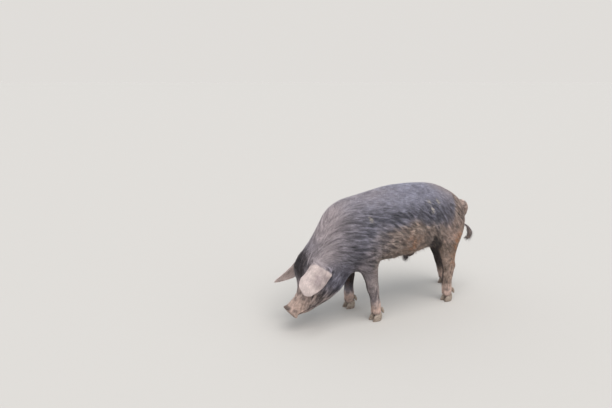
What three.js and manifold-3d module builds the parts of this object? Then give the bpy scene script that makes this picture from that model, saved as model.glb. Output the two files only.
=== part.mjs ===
// A life-size black pig that stands on four feet and lowers its head to sniff at the ground.
// Millimetres, +Z up. The pig faces -X, so its left side is -Y. The origin is on the floor under
// the middle of the bounding box. Each named part of the body is its own closed solid, and
// neighbours keep a small gap.
import * as THREE from "three";
import { mergeVertices } from "three/addons/utils/BufferGeometryUtils.js";
import Module from "manifold-3d";

const wasm = await Module();
wasm.setup();

// ---------------------------------------------------------------- driving dimensions
const GAP = 0.4; // clearance between neighbouring pieces
const ROOT_GAP = 2.2; // and more round the roots of the ears and tail, whose faces grow unevenly
const BODY_SIDES = 22; // points round the body
const LEG_SIDES = 12; // points round a leg
const LEG_STEPS = { shape: 15, cut: 11 }; // steps down a leg, and down the shape that cuts it out
const LEG_MARGIN = 8; // a leg takes this much of the body round its own shape
const LEG_SWELL = 80; // and all of the body's side within its outline
const FAR = 3000; // longer than the pig, for planes that cut it

const HEAD_TURN = THREE.MathUtils.degToRad(5); // the head turns this far to the pig's right
const HEAD_ROLL = THREE.MathUtils.degToRad(4); // and tips its right ear down by this
const NECK_PIVOT = [-430, 300]; // x and z where the neck starts to turn
const NECK_TURN_LENGTH = 260; // the turn is complete this much further forward

const NOSE_TILT = THREE.MathUtils.degToRad(40); // the snout points this far below the horizon
const NOSE_CENTRE = [-833, 110]; // middle of the nose disc's front face, x and z
const NOSE_RADIUS = 50;
const NOSE_THICKNESS = 13;

const EYE_RADIUS = 12.5;
const EYE_SECTION = 15.45; // where along the named sections the eye sits
const EYE_ANGLE = THREE.MathUtils.degToRad(54); // how far round from the forehead
const EYE_DEPTH = 6; // its centre lies this far under the head's surface
const EYE_SEGMENTS = [10, 6]; // round it and from pole to pole

const FOOT_SIDE = 124; // from the middle plane to the middle of each foot
const RIGHT_HIND_STEP = 218; // the right hind foot stands this far behind the left one
const RIGHT_FORE_STEP = -22; // and the right forefoot this far ahead of the left one

const COLOURS = {
  skin: 0x5f5b63,
  ear: 0xb9aaa5,
  snout: 0xb09a90,
  hoof: 0xa59a8c,
  eye: 0x17120f,
};

// Cross-sections of the body from the tail forward to the nose. Each lies in the plane through its
// top and bottom points [x, z]. half is its half width, level the share of its height at which it is
// widest, and above and below the roundness (superellipse exponent) over and under that level.
const noseAxis = [-Math.cos(NOSE_TILT), -Math.sin(NOSE_TILT)];
const noseUp = [-Math.sin(NOSE_TILT), Math.cos(NOSE_TILT)];
const nosePoint = (up, back) => [
  NOSE_CENTRE[0] + noseUp[0] * up - noseAxis[0] * back,
  NOSE_CENTRE[1] + noseUp[1] * up - noseAxis[1] * back,
];
const SECTIONS = [
  { name: "tail head", top: [450, 636], bottom: [438, 520], half: 44, level: 0.5, above: 2, below: 2 },
  { name: "buttocks", top: [436, 662], bottom: [414, 452], half: 108, level: 0.5, above: 2, below: 2 },
  { name: "hips", top: [398, 704], bottom: [372, 410], half: 152, level: 0.55, above: 2.1, below: 2 },
  { name: "croup", top: [306, 759], bottom: [292, 376], half: 180, level: 0.55, above: 2.1, below: 2 },
  { name: "rump", top: [210, 789], bottom: [210, 372], half: 192, level: 0.52, above: 2.1, below: 2.1 },
  { name: "loin", top: [100, 803], bottom: [110, 360], half: 202, level: 0.5, above: 2.1, below: 2.2 },
  { name: "flank", top: [-30, 808], bottom: [-20, 351], half: 207, level: 0.48, above: 2.1, below: 2.2 },
  { name: "barrel", top: [-150, 801], bottom: [-140, 346], half: 206, level: 0.48, above: 2.1, below: 2.2 },
  { name: "girth", top: [-265, 787], bottom: [-245, 341], half: 198, level: 0.48, above: 2, below: 2.1 },
  { name: "withers", top: [-368, 772], bottom: [-335, 322], half: 188, level: 0.48, above: 1.9, below: 2 },
  { name: "shoulder", top: [-460, 762], bottom: [-405, 302], half: 178, level: 0.5, above: 1.9, below: 2 },
  { name: "neck base", top: [-543, 722], bottom: [-448, 292], half: 168, level: 0.52, above: 1.9, below: 2 },
  { name: "neck", top: [-600, 640], bottom: [-472, 275], half: 154, level: 0.52, above: 1.9, below: 2 },
  { name: "nape", top: [-662, 544], bottom: [-500, 238], half: 138, level: 0.52, above: 2, below: 2.1 },
  { name: "poll", top: [-732, 458], bottom: [-534, 198], half: 122, level: 0.5, above: 2.3, below: 2.2 },
  { name: "brow", top: [-767, 390], bottom: [-572, 168], half: 110, level: 0.5, above: 2.5, below: 2.2 },
  { name: "cheek", top: [-766, 318], bottom: [-620, 142], half: 93, level: 0.5, above: 2.5, below: 2.1 },
  { name: "stop", top: [-768, 258], bottom: [-672, 118], half: 72, level: 0.5, above: 2.3, below: 2.1 },
  { name: "muzzle", top: [-792, 206], bottom: [-722, 98], half: 56, level: 0.5, above: 2.2, below: 2.2 },
  { name: "lips", top: nosePoint(46, 32), bottom: nosePoint(-46, 32), half: 46,
    level: 0.5, above: 2.1, below: 2.2 },
  { name: "nose", top: nosePoint(47, NOSE_THICKNESS), bottom: nosePoint(-44, NOSE_THICKNESS), half: 46,
    level: 0.5, above: 2, below: 2 },
];
const NECK_CUT = 9.9; // the trunk ends and the neck begins at this section
const HEAD_CUT = 13.1; // and the head begins here

// The legs, from the shoulder or hip down to the hoof: x and z of the middle, y its distance from the
// middle plane, long its half length along X and wide its half width.
const FORE_LEG = [
  { name: "shoulder blade", x: -372, y: 60, z: 690, long: 24, wide: 24 },
  { name: "shoulder top", x: -380, y: 66, z: 650, long: 66, wide: 40 },
  { name: "shoulder", x: -394, y: 104, z: 560, long: 108, wide: 76 },
  { name: "upper arm", x: -398, y: 116, z: 460, long: 108, wide: 69 },
  { name: "elbow", x: -380, y: 122, z: 375, long: 82, wide: 56 },
  { name: "forearm", x: -358, y: 124, z: 302, long: 53, wide: 45 },
  { name: "lower forearm", x: -342, y: 124, z: 246, long: 41, wide: 39 },
  { name: "knee", x: -331, y: 124, z: 200, long: 38, wide: 39 },
  { name: "cannon", x: -321, y: 124, z: 155, long: 31, wide: 31 },
  { name: "fetlock", x: -310, y: 124, z: 112, long: 34, wide: 35 },
  { name: "pastern", x: -306, y: 124, z: 80, long: 32, wide: 34 },
  { name: "coronet", x: -305, y: 124, z: 50, long: 35, wide: 36 },
  { name: "heel", x: -288, y: 124, z: 22, long: 18, wide: 27 },
];
const HIND_LEG = [
  { name: "hip bone", x: 322, y: 62, z: 712, long: 28, wide: 24 },
  { name: "hip", x: 320, y: 70, z: 670, long: 76, wide: 45 },
  { name: "ham", x: 306, y: 106, z: 590, long: 122, wide: 80 },
  { name: "thigh", x: 292, y: 113, z: 490, long: 126, wide: 79 },
  { name: "stifle", x: 282, y: 118, z: 415, long: 102, wide: 68 },
  { name: "gaskin", x: 282, y: 121, z: 345, long: 72, wide: 54 },
  { name: "lower gaskin", x: 288, y: 123, z: 285, long: 55, wide: 43 },
  { name: "hock", x: 298, y: 124, z: 228, long: 51, wide: 38 },
  { name: "below hock", x: 293, y: 124, z: 176, long: 39, wide: 34 },
  { name: "cannon", x: 290, y: 124, z: 130, long: 33, wide: 31 },
  { name: "fetlock", x: 292, y: 124, z: 94, long: 35, wide: 35 },
  { name: "pastern", x: 294, y: 124, z: 68, long: 33, wide: 34 },
  { name: "coronet", x: 295, y: 124, z: 46, long: 34, wide: 35 },
  { name: "heel", x: 311, y: 124, z: 20, long: 18, wide: 26 },
];
// How far a right leg stands from the left one along X, at each of a few heights.
const LEFT_SHIFT = [[-FAR, 0], [FAR, 0]];
const RIGHT_FORE_SHIFT = [[-FAR, RIGHT_FORE_STEP], [120, RIGHT_FORE_STEP], [300, 22], [560, 0], [FAR, 0]];
const RIGHT_HIND_SHIFT = [[-FAR, RIGHT_HIND_STEP], [50, RIGHT_HIND_STEP], [330, 120], [600, 0], [FAR, 0]];

// The feet: the middle of the main claws and of the dewclaws' tops along X, and their size.
const FORE_FOOT = { toe: -311, size: 1, dewclawX: -283, dewclawZ: 86 };
const HIND_FOOT = { toe: 291, size: 0.95, dewclawX: 318, dewclawZ: 92 };

// ---------------------------------------------------------------- solids and splines
// A closed geometry as a solid. Its normals and texture coordinates are dropped, so that its
// vertices merge.
function solid(geometry) {
  const bare = geometry.clone();
  bare.deleteAttribute("normal");
  bare.deleteAttribute("uv");
  const merged = mergeVertices(bare, 1e-4);
  const made = new wasm.Manifold(
    new wasm.Mesh({
      numProp: 3,
      vertProperties: merged.attributes.position.array,
      triVerts: new Uint32Array(merged.index.array),
    }),
  );
  return made;
}

// A tube through rings of points, closed at both ends by a fan round the ring's middle.
function loft(rings) {
  const sides = rings[0].length;
  const points = rings.flat();
  const index = [];
  for (let r = 0; r + 1 < rings.length; r++) {
    for (let k = 0; k < sides; k++) {
      const a = r * sides + k;
      const b = r * sides + ((k + 1) % sides);
      index.push(a, b, a + sides, b, b + sides, a + sides);
    }
  }
  for (const [ring, first] of [[rings[0], true], [rings.at(-1), false]]) {
    const middle = ring.reduce((sum, p) => sum.add(p), new THREE.Vector3()).divideScalar(sides);
    const start = first ? 0 : (rings.length - 1) * sides;
    const hub = points.push(middle) - 1;
    for (let k = 0; k < sides; k++) {
      const a = start + k;
      const b = start + ((k + 1) % sides);
      index.push(...(first ? [hub, b, a] : [hub, a, b]));
    }
  }
  const geometry = new THREE.BufferGeometry().setFromPoints(points);
  geometry.setIndex(index);
  return geometry;
}

// A smooth line through rows of three numbers, read at a row number such as 2.5.
function rowSpline(rows) {
  const points = rows.map((row) => new THREE.Vector3(...row));
  const curve = new THREE.CatmullRomCurve3(points, false, "catmullrom", 0.5);
  return (row) => curve.getPoint(Math.min(1, Math.max(0, row / (rows.length - 1)))).toArray();
}

// A copy of a ring, moved along a direction.
const movedRing = (ring, direction, distance) =>
  ring.map((point) => point.clone().addScaledVector(direction, distance));

const power = (value, exponent) => Math.sign(value) * Math.abs(value) ** exponent;
const smooth = (value) => THREE.MathUtils.smoothstep(value, 0, 1);

// Turns and tips whatever is forward of the neck's pivot, by more the further forward it is.
function turnHead(point) {
  const forward = NECK_PIVOT[0] - point.x;
  const share = smooth(Math.max(0, forward) / NECK_TURN_LENGTH);
  const roll = HEAD_ROLL * share;
  const up = point.z - NECK_PIVOT[1];
  const side = point.y * Math.cos(roll) + up * Math.sin(roll);
  point.z = NECK_PIVOT[1] + up * Math.cos(roll) - point.y * Math.sin(roll);
  const turn = HEAD_TURN * share;
  point.x = NECK_PIVOT[0] - (forward * Math.cos(turn) - side * Math.sin(turn));
  point.y = side * Math.cos(turn) + forward * Math.sin(turn);
  return point;
}

// ---------------------------------------------------------------- head, neck and trunk
const topLine = rowSpline(SECTIONS.map((s) => [...s.top, s.half]));
const bottomLine = rowSpline(SECTIONS.map((s) => [...s.bottom, s.level]));
const roundness = rowSpline(SECTIONS.map((s) => [s.above, s.below, 0]));

// A point of the body's surface at a section number, at an angle from its top towards the left side.
function bodyPoint(section, angle) {
  const [topX, topZ, half] = topLine(section);
  const [bottomX, bottomZ, level] = bottomLine(section);
  const [above, below] = roundness(section);
  const c = Math.cos(angle);
  const exponent = 2 / (c > 0 ? above : below);
  const share = level + (c > 0 ? 1 - level : level) * power(c, exponent);
  const side = -half * power(Math.sin(angle), exponent);
  return new THREE.Vector3(bottomX + (topX - bottomX) * share, side, bottomZ + (topZ - bottomZ) * share);
}

// The body has a ring at each section and halfway between two, but only at the sections where it is
// nearly straight.
function bodySolid() {
  const rings = [];
  const index = (name) => SECTIONS.findIndex((section) => section.name === name);
  const isStraight = (at) => at >= index("rump") && at < index("withers");
  for (let at = 0; at <= SECTIONS.length - 1; at += isStraight(at) ? 1 : 0.5) {
    const ring = [];
    for (let k = 0; k < BODY_SIDES; k++) {
      ring.push(turnHead(bodyPoint(at, (2 * Math.PI * k) / BODY_SIDES)));
    }
    rings.unshift(ring);
  }
  return solid(loft(rings));
}

// The space ahead of a section, from a plane that is moved forward by the offset.
function spaceAhead(section, offset) {
  const corner = (k) => turnHead(bodyPoint(section, (k * Math.PI) / 2));
  const [top, left, bottom, right] = [0, 1, 2, 3].map(corner);
  const normal = new THREE.Vector3().crossVectors(right.sub(left), top.sub(bottom)).normalize();
  if (normal.x > 0) normal.negate();
  const space = new THREE.BoxGeometry(FAR, FAR, FAR);
  space.translate(FAR / 2 + offset, 0, 0);
  space.applyQuaternion(new THREE.Quaternion().setFromUnitVectors(new THREE.Vector3(1, 0, 0), normal));
  space.translate(...bottom);
  return solid(space);
}

// ---------------------------------------------------------------- nose, eyes and sheath
const NOSE_RINGS = [
  { back: NOSE_THICKNESS - GAP, size: 0.9 },
  { back: 0.7 * NOSE_THICKNESS, size: 0.99 },
  { back: 0.35 * NOSE_THICKNESS, size: 1 },
  { back: 0, size: 0.92 },
];
const NOSE_SIDES = 18;
const NOSE_WIDTH = 1.06; // the disc is this much wider than tall
const NOSTRIL = { side: 18, up: 4, radii: [12, 8.5, 11], sides: 8 };
function noseSolid() {
  const rings = NOSE_RINGS.map((row) => {
    const ring = [];
    for (let k = 0; k < NOSE_SIDES; k++) {
      const angle = (2 * Math.PI * k) / NOSE_SIDES;
      const [x, z] = nosePoint(NOSE_RADIUS * row.size * Math.cos(angle), row.back);
      ring.push(turnHead(new THREE.Vector3(x, NOSE_RADIUS * NOSE_WIDTH * row.size * Math.sin(angle), z)));
    }
    return ring;
  });
  let disc = solid(loft(rings));
  for (const side of [-1, 1]) {
    const [x, z] = nosePoint(NOSTRIL.up, 0);
    const pit = new THREE.SphereGeometry(1, NOSTRIL.sides, NOSTRIL.sides / 2);
    pit.scale(...NOSTRIL.radii);
    pit.rotateY(-NOSE_TILT);
    pit.translate(...turnHead(new THREE.Vector3(x, side * NOSTRIL.side, z)));
    disc = disc.subtract(solid(pit));
  }
  return disc;
}

function eyeSolid(side, grow) {
  const surface = bodyPoint(EYE_SECTION, -side * EYE_ANGLE);
  const axis = bodyPoint(EYE_SECTION, 0).lerp(bodyPoint(EYE_SECTION, Math.PI), 0.5);
  const centre = surface.clone().add(axis.sub(surface).setLength(EYE_DEPTH));
  const ball = new THREE.SphereGeometry(EYE_RADIUS + grow, ...EYE_SEGMENTS);
  ball.translate(...turnHead(centre));
  return solid(ball);
}

const SHEATH = { centre: [70, 0, 336], radii: [58, 26, 36], segments: [12, 6] };
function sheathSolid(grow) {
  const ball = new THREE.SphereGeometry(1, ...SHEATH.segments);
  ball.scale(...SHEATH.radii.map((radius) => radius + grow));
  ball.translate(...SHEATH.centre);
  return solid(ball);
}

// ---------------------------------------------------------------- legs and feet
// Reads rows of [height, value] at a height, straight between the rows.
function readRows(rows, height) {
  const next = rows.findIndex((row) => row[0] > height);
  if (next < 0) return rows.at(-1)[1];
  const [low, before] = rows[next - 1];
  const [high, after] = rows[next];
  return THREE.MathUtils.mapLinear(height, low, high, before, after);
}

// A leg. side is -1 on the left and 1 on the right. grow thickens it all round, and swell moves its
// outer side out, so that the same shape also cuts the leg's share out of the body. It has a
// ring at each of a number of even steps down its rows.
function legSolid(rows, side, shift, steps, grow = 0, swell = 0) {
  const middle = rowSpline(rows.map((row) => [row.x, row.y, row.z]));
  const size = rowSpline(rows.map((row) => [row.long, row.wide, 0]));
  const rings = [];
  for (let r = 0; r <= steps; r++) {
    const row = (r / steps) * (rows.length - 1);
    const [x, y, z] = middle(row);
    const [long, wide] = size(row);
    const end = r === 0 ? grow : r === steps ? -grow : 0;
    const ring = [];
    for (let k = 0; k < LEG_SIDES; k++) {
      const angle = (2 * Math.PI * k) / LEG_SIDES;
      ring.push(
        new THREE.Vector3(
          x + readRows(shift, z) + (long + grow) * Math.cos(angle),
          side * (y + swell / 2) + (wide + grow + swell / 2) * Math.sin(angle),
          z + end,
        ),
      );
    }
    rings.unshift(ring);
  }
  return solid(loft(rings));
}

// One main claw: a sole flat on the floor, egg-shaped in plan with its toe towards -X, and a wall
// that leans back. egg widens the heel, and splay turns the toe away from the other claw.
const CLAW = {
  length: 34,
  width: 16.5,
  height: 48,
  sides: 10,
  egg: 0.18,
  lean: 15,
  apart: 17.8,
  splay: 0.09,
};
const CLAW_LEVELS = [
  { up: 0, size: 0.98 },
  { up: 0.1, size: 1 },
  { up: 0.55, size: 0.92 },
  { up: 1, size: 0.62 },
];
function clawSolid(foot, which, grow = 0) {
  const rings = CLAW_LEVELS.map((level, r) => {
    const end = r === 0 ? -grow : r === CLAW_LEVELS.length - 1 ? grow : 0;
    const ring = [];
    for (let k = 0; k < CLAW.sides; k++) {
      const angle = (2 * Math.PI * k) / CLAW.sides;
      const c = Math.cos(angle);
      const point = new THREE.Vector3(
        (CLAW.length * level.size + grow) * c,
        (CLAW.width * level.size + grow) * Math.sin(angle) * (1 + CLAW.egg * c),
        0,
      );
      point.applyAxisAngle(new THREE.Vector3(0, 0, 1), -which * CLAW.splay);
      point.multiplyScalar(foot.size);
      point.x += foot.toe + foot.step + CLAW.lean * level.up;
      point.y += foot.y + which * CLAW.apart * foot.size;
      point.z += CLAW.height * foot.size * level.up + end;
      ring.push(point);
    }
    return ring;
  });
  return solid(loft(rings));
}

// One dewclaw: a blunt cone behind the pastern that points down and back.
const DEWCLAW = { length: 42, radius: 12, sides: 7, back: 17, apart: 23 };
const DEWCLAW_SIZES = [0.8, 1, 0.5];
function dewclawSolid(foot, which, grow = 0) {
  const last = DEWCLAW_SIZES.length - 1;
  const rings = DEWCLAW_SIZES.map((size, r) => {
    const end = r === 0 ? grow : r === last ? -grow : 0;
    const ring = [];
    for (let k = 0; k < DEWCLAW.sides; k++) {
      const angle = (2 * Math.PI * k) / DEWCLAW.sides;
      const reach = DEWCLAW.radius * size + grow;
      ring.push(
        new THREE.Vector3(
          foot.dewclawX + foot.step + (DEWCLAW.back * r) / last + reach * Math.cos(angle),
          foot.y + which * DEWCLAW.apart + reach * Math.sin(angle),
          foot.dewclawZ - (DEWCLAW.length * r) / last + end,
        ),
      );
    }
    return ring;
  });
  return solid(loft(rings.reverse()));
}

// ---------------------------------------------------------------- ears
// Rows across the left ear from its root to its tip: the front edge, the back edge, and how far the
// middle stands out from the line between them.
const EAR_ROWS = [
  { front: [-716, -66, 392], back: [-664, -78, 386], crown: 14 },
  { front: [-744, -92, 398], back: [-644, -104, 390], crown: 18 },
  { front: [-778, -116, 378], back: [-636, -132, 362], crown: 20 },
  { front: [-822, -132, 354], back: [-648, -156, 330], crown: 20 },
  { front: [-848, -152, 322], back: [-684, -178, 300], crown: 16 },
  { front: [-854, -171, 290], back: [-738, -196, 276], crown: 10 },
  { front: [-834, -191, 266], back: [-794, -199, 262], crown: 3 },
];
// The right ear hangs lower, reaches further forward at its tip and is narrower along its front edge.
const RIGHT_EAR = { drop: 27, reach: 12, narrower: 0.24 };
const EAR = { rings: 8, across: 6, rootThick: 13, tipThick: 5, bluntness: 0.6 };
function earSolid(side, grow = 0) {
  const frontLine = rowSpline(EAR_ROWS.map((row) => row.front));
  const backLine = rowSpline(EAR_ROWS.map((row) => row.back));
  const crownLine = rowSpline(EAR_ROWS.map((row) => [row.crown, 0, 0]));
  const shareAt = (row) => (side > 0 ? row / (EAR_ROWS.length - 1) : 0);
  const hung = (point, share) => {
    const drop = RIGHT_EAR.drop * Math.sin(0.75 * Math.PI * share);
    return point.add(new THREE.Vector3(-RIGHT_EAR.reach * share * share, 0, -drop));
  };
  const backAt = (row) => hung(new THREE.Vector3(...backLine(row)), shareAt(row));
  const frontAt = (row) => {
    const front = hung(new THREE.Vector3(...frontLine(row)), shareAt(row));
    return front.lerp(backAt(row), RIGHT_EAR.narrower * Math.max(0, Math.sin(Math.PI * shareAt(row))));
  };
  const middleAt = (row) => frontAt(row).lerp(backAt(row), 0.5);
  const rings = [];
  for (let r = 0; r <= EAR.rings; r++) {
    const row = (r / EAR.rings) * (EAR_ROWS.length - 1);
    const along = middleAt(row + 0.1).sub(middleAt(row - 0.1)).normalize();
    const across = backAt(row).sub(frontAt(row));
    const half = across.length() / 2;
    const outward = new THREE.Vector3().crossVectors(along, across.normalize()).normalize();
    const thick = THREE.MathUtils.lerp(EAR.rootThick, EAR.tipThick, r / EAR.rings) + 2 * grow;
    const ring = [];
    for (let k = 0; k < 2 * EAR.across; k++) {
      const angle = (Math.PI * k) / EAR.across;
      const from = -(half + grow) * Math.cos(angle);
      const crown = crownLine(row)[0] * (1 - (from / half) ** 2);
      const lift = crown + (thick / 2) * power(Math.sin(angle), EAR.bluntness);
      const point = middleAt(row).addScaledVector(across, from).addScaledVector(outward, lift);
      ring.unshift(point);
    }
    rings.push(ring);
    if (r === 0) rings.unshift(movedRing(ring, along, -grow));
  }
  const ear = loft(grow > 0 ? rings : rings.slice(1));
  if (side > 0) {
    ear.scale(1, -1, 1);
    ear.index.array.reverse();
  }
  const place = ear.attributes.position;
  for (let i = 0; i < place.count; i++) {
    place.setXYZ(i, ...turnHead(new THREE.Vector3().fromBufferAttribute(place, i)));
  }
  return solid(ear);
}

// ---------------------------------------------------------------- tail
// Points along the tail: a fat root that arches over, a drop down the rump, and a loop at the end.
const TAIL_ROWS = [
  { x: 440, y: 0, z: 600, radius: 28 },
  { x: 486, y: 0, z: 614, radius: 33 },
  { x: 530, y: 0, z: 600, radius: 30 },
  { x: 547, y: 0, z: 562, radius: 22 },
  { x: 540, y: 0, z: 518, radius: 17 },
  { x: 546, y: 4, z: 480, radius: 14 },
  { x: 574, y: 12, z: 456, radius: 12 },
  { x: 606, y: 10, z: 430, radius: 12 },
  { x: 616, y: 0, z: 392, radius: 13 },
  { x: 598, y: -8, z: 362, radius: 11 },
  { x: 568, y: -10, z: 368, radius: 6 },
];
const TAIL = { rings: 20, sides: 7 };
function tailSolid(grow = 0) {
  const middles = TAIL_ROWS.map((row) => new THREE.Vector3(row.x, row.y, row.z));
  const curve = new THREE.CatmullRomCurve3(middles);
  const radii = rowSpline(TAIL_ROWS.map((row) => [row.radius, 0, 0]));
  const rings = [];
  for (let r = 0; r <= TAIL.rings; r++) {
    const share = r / TAIL.rings;
    const tangent = curve.getTangent(share);
    const across = new THREE.Vector3(0, 1, 0).addScaledVector(tangent, -tangent.y).normalize();
    const over = new THREE.Vector3().crossVectors(tangent, across);
    const radius = radii(share * (TAIL_ROWS.length - 1))[0] + grow;
    const ring = [];
    for (let k = 0; k < TAIL.sides; k++) {
      const angle = (2 * Math.PI * k) / TAIL.sides;
      const point = curve.getPoint(share);
      point.addScaledVector(across, radius * Math.cos(angle));
      point.addScaledVector(over, radius * Math.sin(angle));
      ring.push(point);
    }
    rings.push(ring);
    if (r === 0) rings.unshift(movedRing(ring, tangent, -grow));
  }
  return solid(loft(grow > 0 ? rings : rings.slice(1)));
}

// ---------------------------------------------------------------- parts
const group = new THREE.Group();
function addPart(name, manifold, color, roughness) {
  const mesh = manifold.getMesh();
  const geometry = new THREE.BufferGeometry();
  geometry.setAttribute("position", new THREE.BufferAttribute(mesh.vertProperties, 3));
  geometry.setIndex(new THREE.BufferAttribute(mesh.triVerts, 1));
  const made = new THREE.Mesh(geometry, new THREE.MeshStandardMaterial({ color, roughness, metalness: 0 }));
  made.name = name;
  group.add(made);
}

const body = bodySolid();
let trunk = body.subtract(spaceAhead(NECK_CUT, -GAP / 2));
let neck = body.intersect(spaceAhead(NECK_CUT, GAP / 2)).subtract(spaceAhead(HEAD_CUT, -GAP / 2));
let head = body.intersect(spaceAhead(HEAD_CUT, GAP / 2));

for (const side of [-1, 1]) {
  const sideName = side < 0 ? "left" : "right";
  const ear = earSolid(side);
  const earRoom = earSolid(side, ROOT_GAP);
  neck = neck.subtract(earRoom);
  head = head.subtract(earRoom).subtract(eyeSolid(side, GAP));
  addPart(`ear_${sideName}`, ear, COLOURS.ear, 0.75);
  addPart(`eye_${sideName}`, eyeSolid(side, 0), COLOURS.eye, 0.15);

  for (const end of ["fore", "hind"]) {
    const fore = end === "fore";
    const rows = fore ? FORE_LEG : HIND_LEG;
    const shift = side < 0 ? LEFT_SHIFT : fore ? RIGHT_FORE_SHIFT : RIGHT_HIND_SHIFT;
    const step = readRows(shift, 0);
    const foot = { ...(fore ? FORE_FOOT : HIND_FOOT), y: side * FOOT_SIDE, step };
    const legRoom = legSolid(rows, side, shift, LEG_STEPS.cut, LEG_MARGIN + GAP, LEG_SWELL);
    trunk = trunk.subtract(legRoom);
    neck = neck.subtract(legRoom);
    const legShare = legSolid(rows, side, shift, LEG_STEPS.cut, LEG_MARGIN, LEG_SWELL);
    let leg = body.add(legSolid(rows, side, shift, LEG_STEPS.shape)).intersect(legShare);
    for (const which of [-1, 1]) {
      const clawName = which === side ? "outer" : "inner";
      leg = leg.subtract(clawSolid(foot, which, GAP)).subtract(dewclawSolid(foot, which, GAP));
      addPart(`claw_${end}_${sideName}_${clawName}`, clawSolid(foot, which), COLOURS.hoof, 0.6);
      addPart(`dewclaw_${end}_${sideName}_${clawName}`, dewclawSolid(foot, which), COLOURS.hoof, 0.6);
    }
    addPart(`leg_${end}_${sideName}`, leg, COLOURS.skin, 0.8);
  }
}
trunk = trunk.subtract(tailSolid(ROOT_GAP)).subtract(sheathSolid(GAP));

addPart("trunk", trunk, COLOURS.skin, 0.8);
addPart("neck", neck, COLOURS.skin, 0.8);
addPart("head", head, COLOURS.skin, 0.8);
addPart("nose", noseSolid(), COLOURS.snout, 0.7);
addPart("sheath", sheathSolid(0), COLOURS.skin, 0.8);
addPart("tail", tailSolid(), COLOURS.skin, 0.8);

const box = new THREE.Box3().setFromObject(group);
const middle = box.getCenter(new THREE.Vector3());
group.position.set(-middle.x, -middle.y, -box.min.z);

export default group;
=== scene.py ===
# Looks of the life-size slate-grey pig: one skin over all the flesh, a sparse bristly coat of solid
# tufts, hooves, eyes, a floor, lights and the camera. Metres, +Z up; the pig faces -X, so its
# left side is -Y.
import math

import bmesh
import bpy
import numpy as np
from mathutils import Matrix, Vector
from mathutils.bvhtree import BVHTree


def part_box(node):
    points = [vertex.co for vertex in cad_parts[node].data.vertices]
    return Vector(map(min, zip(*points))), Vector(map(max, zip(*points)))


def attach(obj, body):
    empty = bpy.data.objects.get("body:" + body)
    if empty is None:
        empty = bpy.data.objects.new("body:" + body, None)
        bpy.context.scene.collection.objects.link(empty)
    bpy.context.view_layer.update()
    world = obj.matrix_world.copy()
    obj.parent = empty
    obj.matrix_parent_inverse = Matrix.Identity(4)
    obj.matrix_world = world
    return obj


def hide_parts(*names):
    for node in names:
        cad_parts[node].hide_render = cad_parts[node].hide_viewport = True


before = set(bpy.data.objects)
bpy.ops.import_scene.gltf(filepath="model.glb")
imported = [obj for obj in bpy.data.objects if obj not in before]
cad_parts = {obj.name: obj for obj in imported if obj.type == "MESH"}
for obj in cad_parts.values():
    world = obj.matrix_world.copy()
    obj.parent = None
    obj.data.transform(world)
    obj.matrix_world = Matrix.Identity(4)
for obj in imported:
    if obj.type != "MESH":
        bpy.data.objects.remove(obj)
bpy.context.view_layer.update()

# ------------------------------------------------------------------ sizes that drive the looks
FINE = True
SKIN_STEP = 0.0035 if FINE else 0.0055  # grid of the skin's first mesh
SKIN_TRIANGLES = 190000 if FINE else 110000
COAT_DEPTH = 0.002  # the skin lies this far inside the solids on the body
SMOOTHING = {"body": 0.036, "leg": 0.013, "head": 0.010, "thin": 0.0045, "ear": 0.0075}  # radius, by region
EAR_GROWTH = 0.0032  # the ears are thickened by this before they are smoothed
HOOF_STEP = 0.0016 if FINE else 0.003
HOOF_PASSES = 14 if FINE else 5  # of smoothing
HOOF_TRIANGLES = 5000

FLESH = [
    "trunk", "neck", "head", "nose", "sheath", "tail", "ear_left", "ear_right",
    "leg_fore_left", "leg_fore_right", "leg_hind_left", "leg_hind_right",
]
EAR_NAMES = ("ear_left", "ear_right")
CLAWS = [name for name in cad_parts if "claw" in name]


def middle(node):
    """The middle of a CAD node's box."""
    low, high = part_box(node)
    return np.array((low + high) / 2)


def corners(node):
    """The lowest and highest corner of a CAD node's box."""
    low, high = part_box(node)
    return np.array(low), np.array(high)


# ------------------------------------------------------------------ places on the pig
X, Y, Z = np.eye(3)
MID_Y = middle("trunk")[1]
FEET = {}  # a place between the main claws of each foot
for end in ("fore", "hind"):
    for side, sign in (("left", -1), ("right", 1)):
        inner = middle(f"claw_{end}_{side}_inner")
        outer = middle(f"claw_{end}_{side}_outer")
        FEET[end, sign] = (inner + outer) / 2


def unit(vector):
    return np.asarray(vector, float) / np.linalg.norm(vector)


# The head's own frame: forward along the snout, side towards the pig's right, up off the forehead.
# Its origin lies between the eyes.
eye_left, eye_right = middle("eye_left"), middle("eye_right")
HEAD_ORIGIN = (eye_left + eye_right) / 2
HEAD_SIDE = unit(eye_right - eye_left)
towards_nose = middle("nose") - HEAD_ORIGIN
HEAD_FORWARD = unit(towards_nose - HEAD_SIDE * (towards_nose @ HEAD_SIDE))
HEAD_UP = unit(np.cross(HEAD_SIDE, HEAD_FORWARD))
HEAD_AXES = np.array([HEAD_FORWARD, HEAD_SIDE, HEAD_UP])
EYE_RADIUS = np.ptp(corners("eye_left"), axis=0)[2] / 2


def head_coordinates(points):
    """Points' forward, side and up on the head."""
    return (points - HEAD_ORIGIN) @ HEAD_AXES.T


def head_point(forward, side, up):
    """The place of a forward, side and up on the head."""
    return HEAD_ORIGIN + np.array([forward, side, up]) @ HEAD_AXES


def aside(points):
    """Distance from the plane down the pig's middle."""
    return np.abs(points[:, 1] - MID_Y)


def eye_distance(points):
    """Distance to the nearer eye's middle."""
    return np.minimum(lengths(points - eye_left), lengths(points - eye_right))


# Folds of the flank, as places along the body and over the floor: behind the arm, before the thigh.
ARM_FOLD = [(-0.205, 0.565), (-0.2, 0.52), (-0.19, 0.47), (-0.175, 0.42), (-0.17, 0.37)]
FLANK_FOLD = [(0.225, 0.49), (0.24, 0.45), (0.25, 0.41)]


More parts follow.
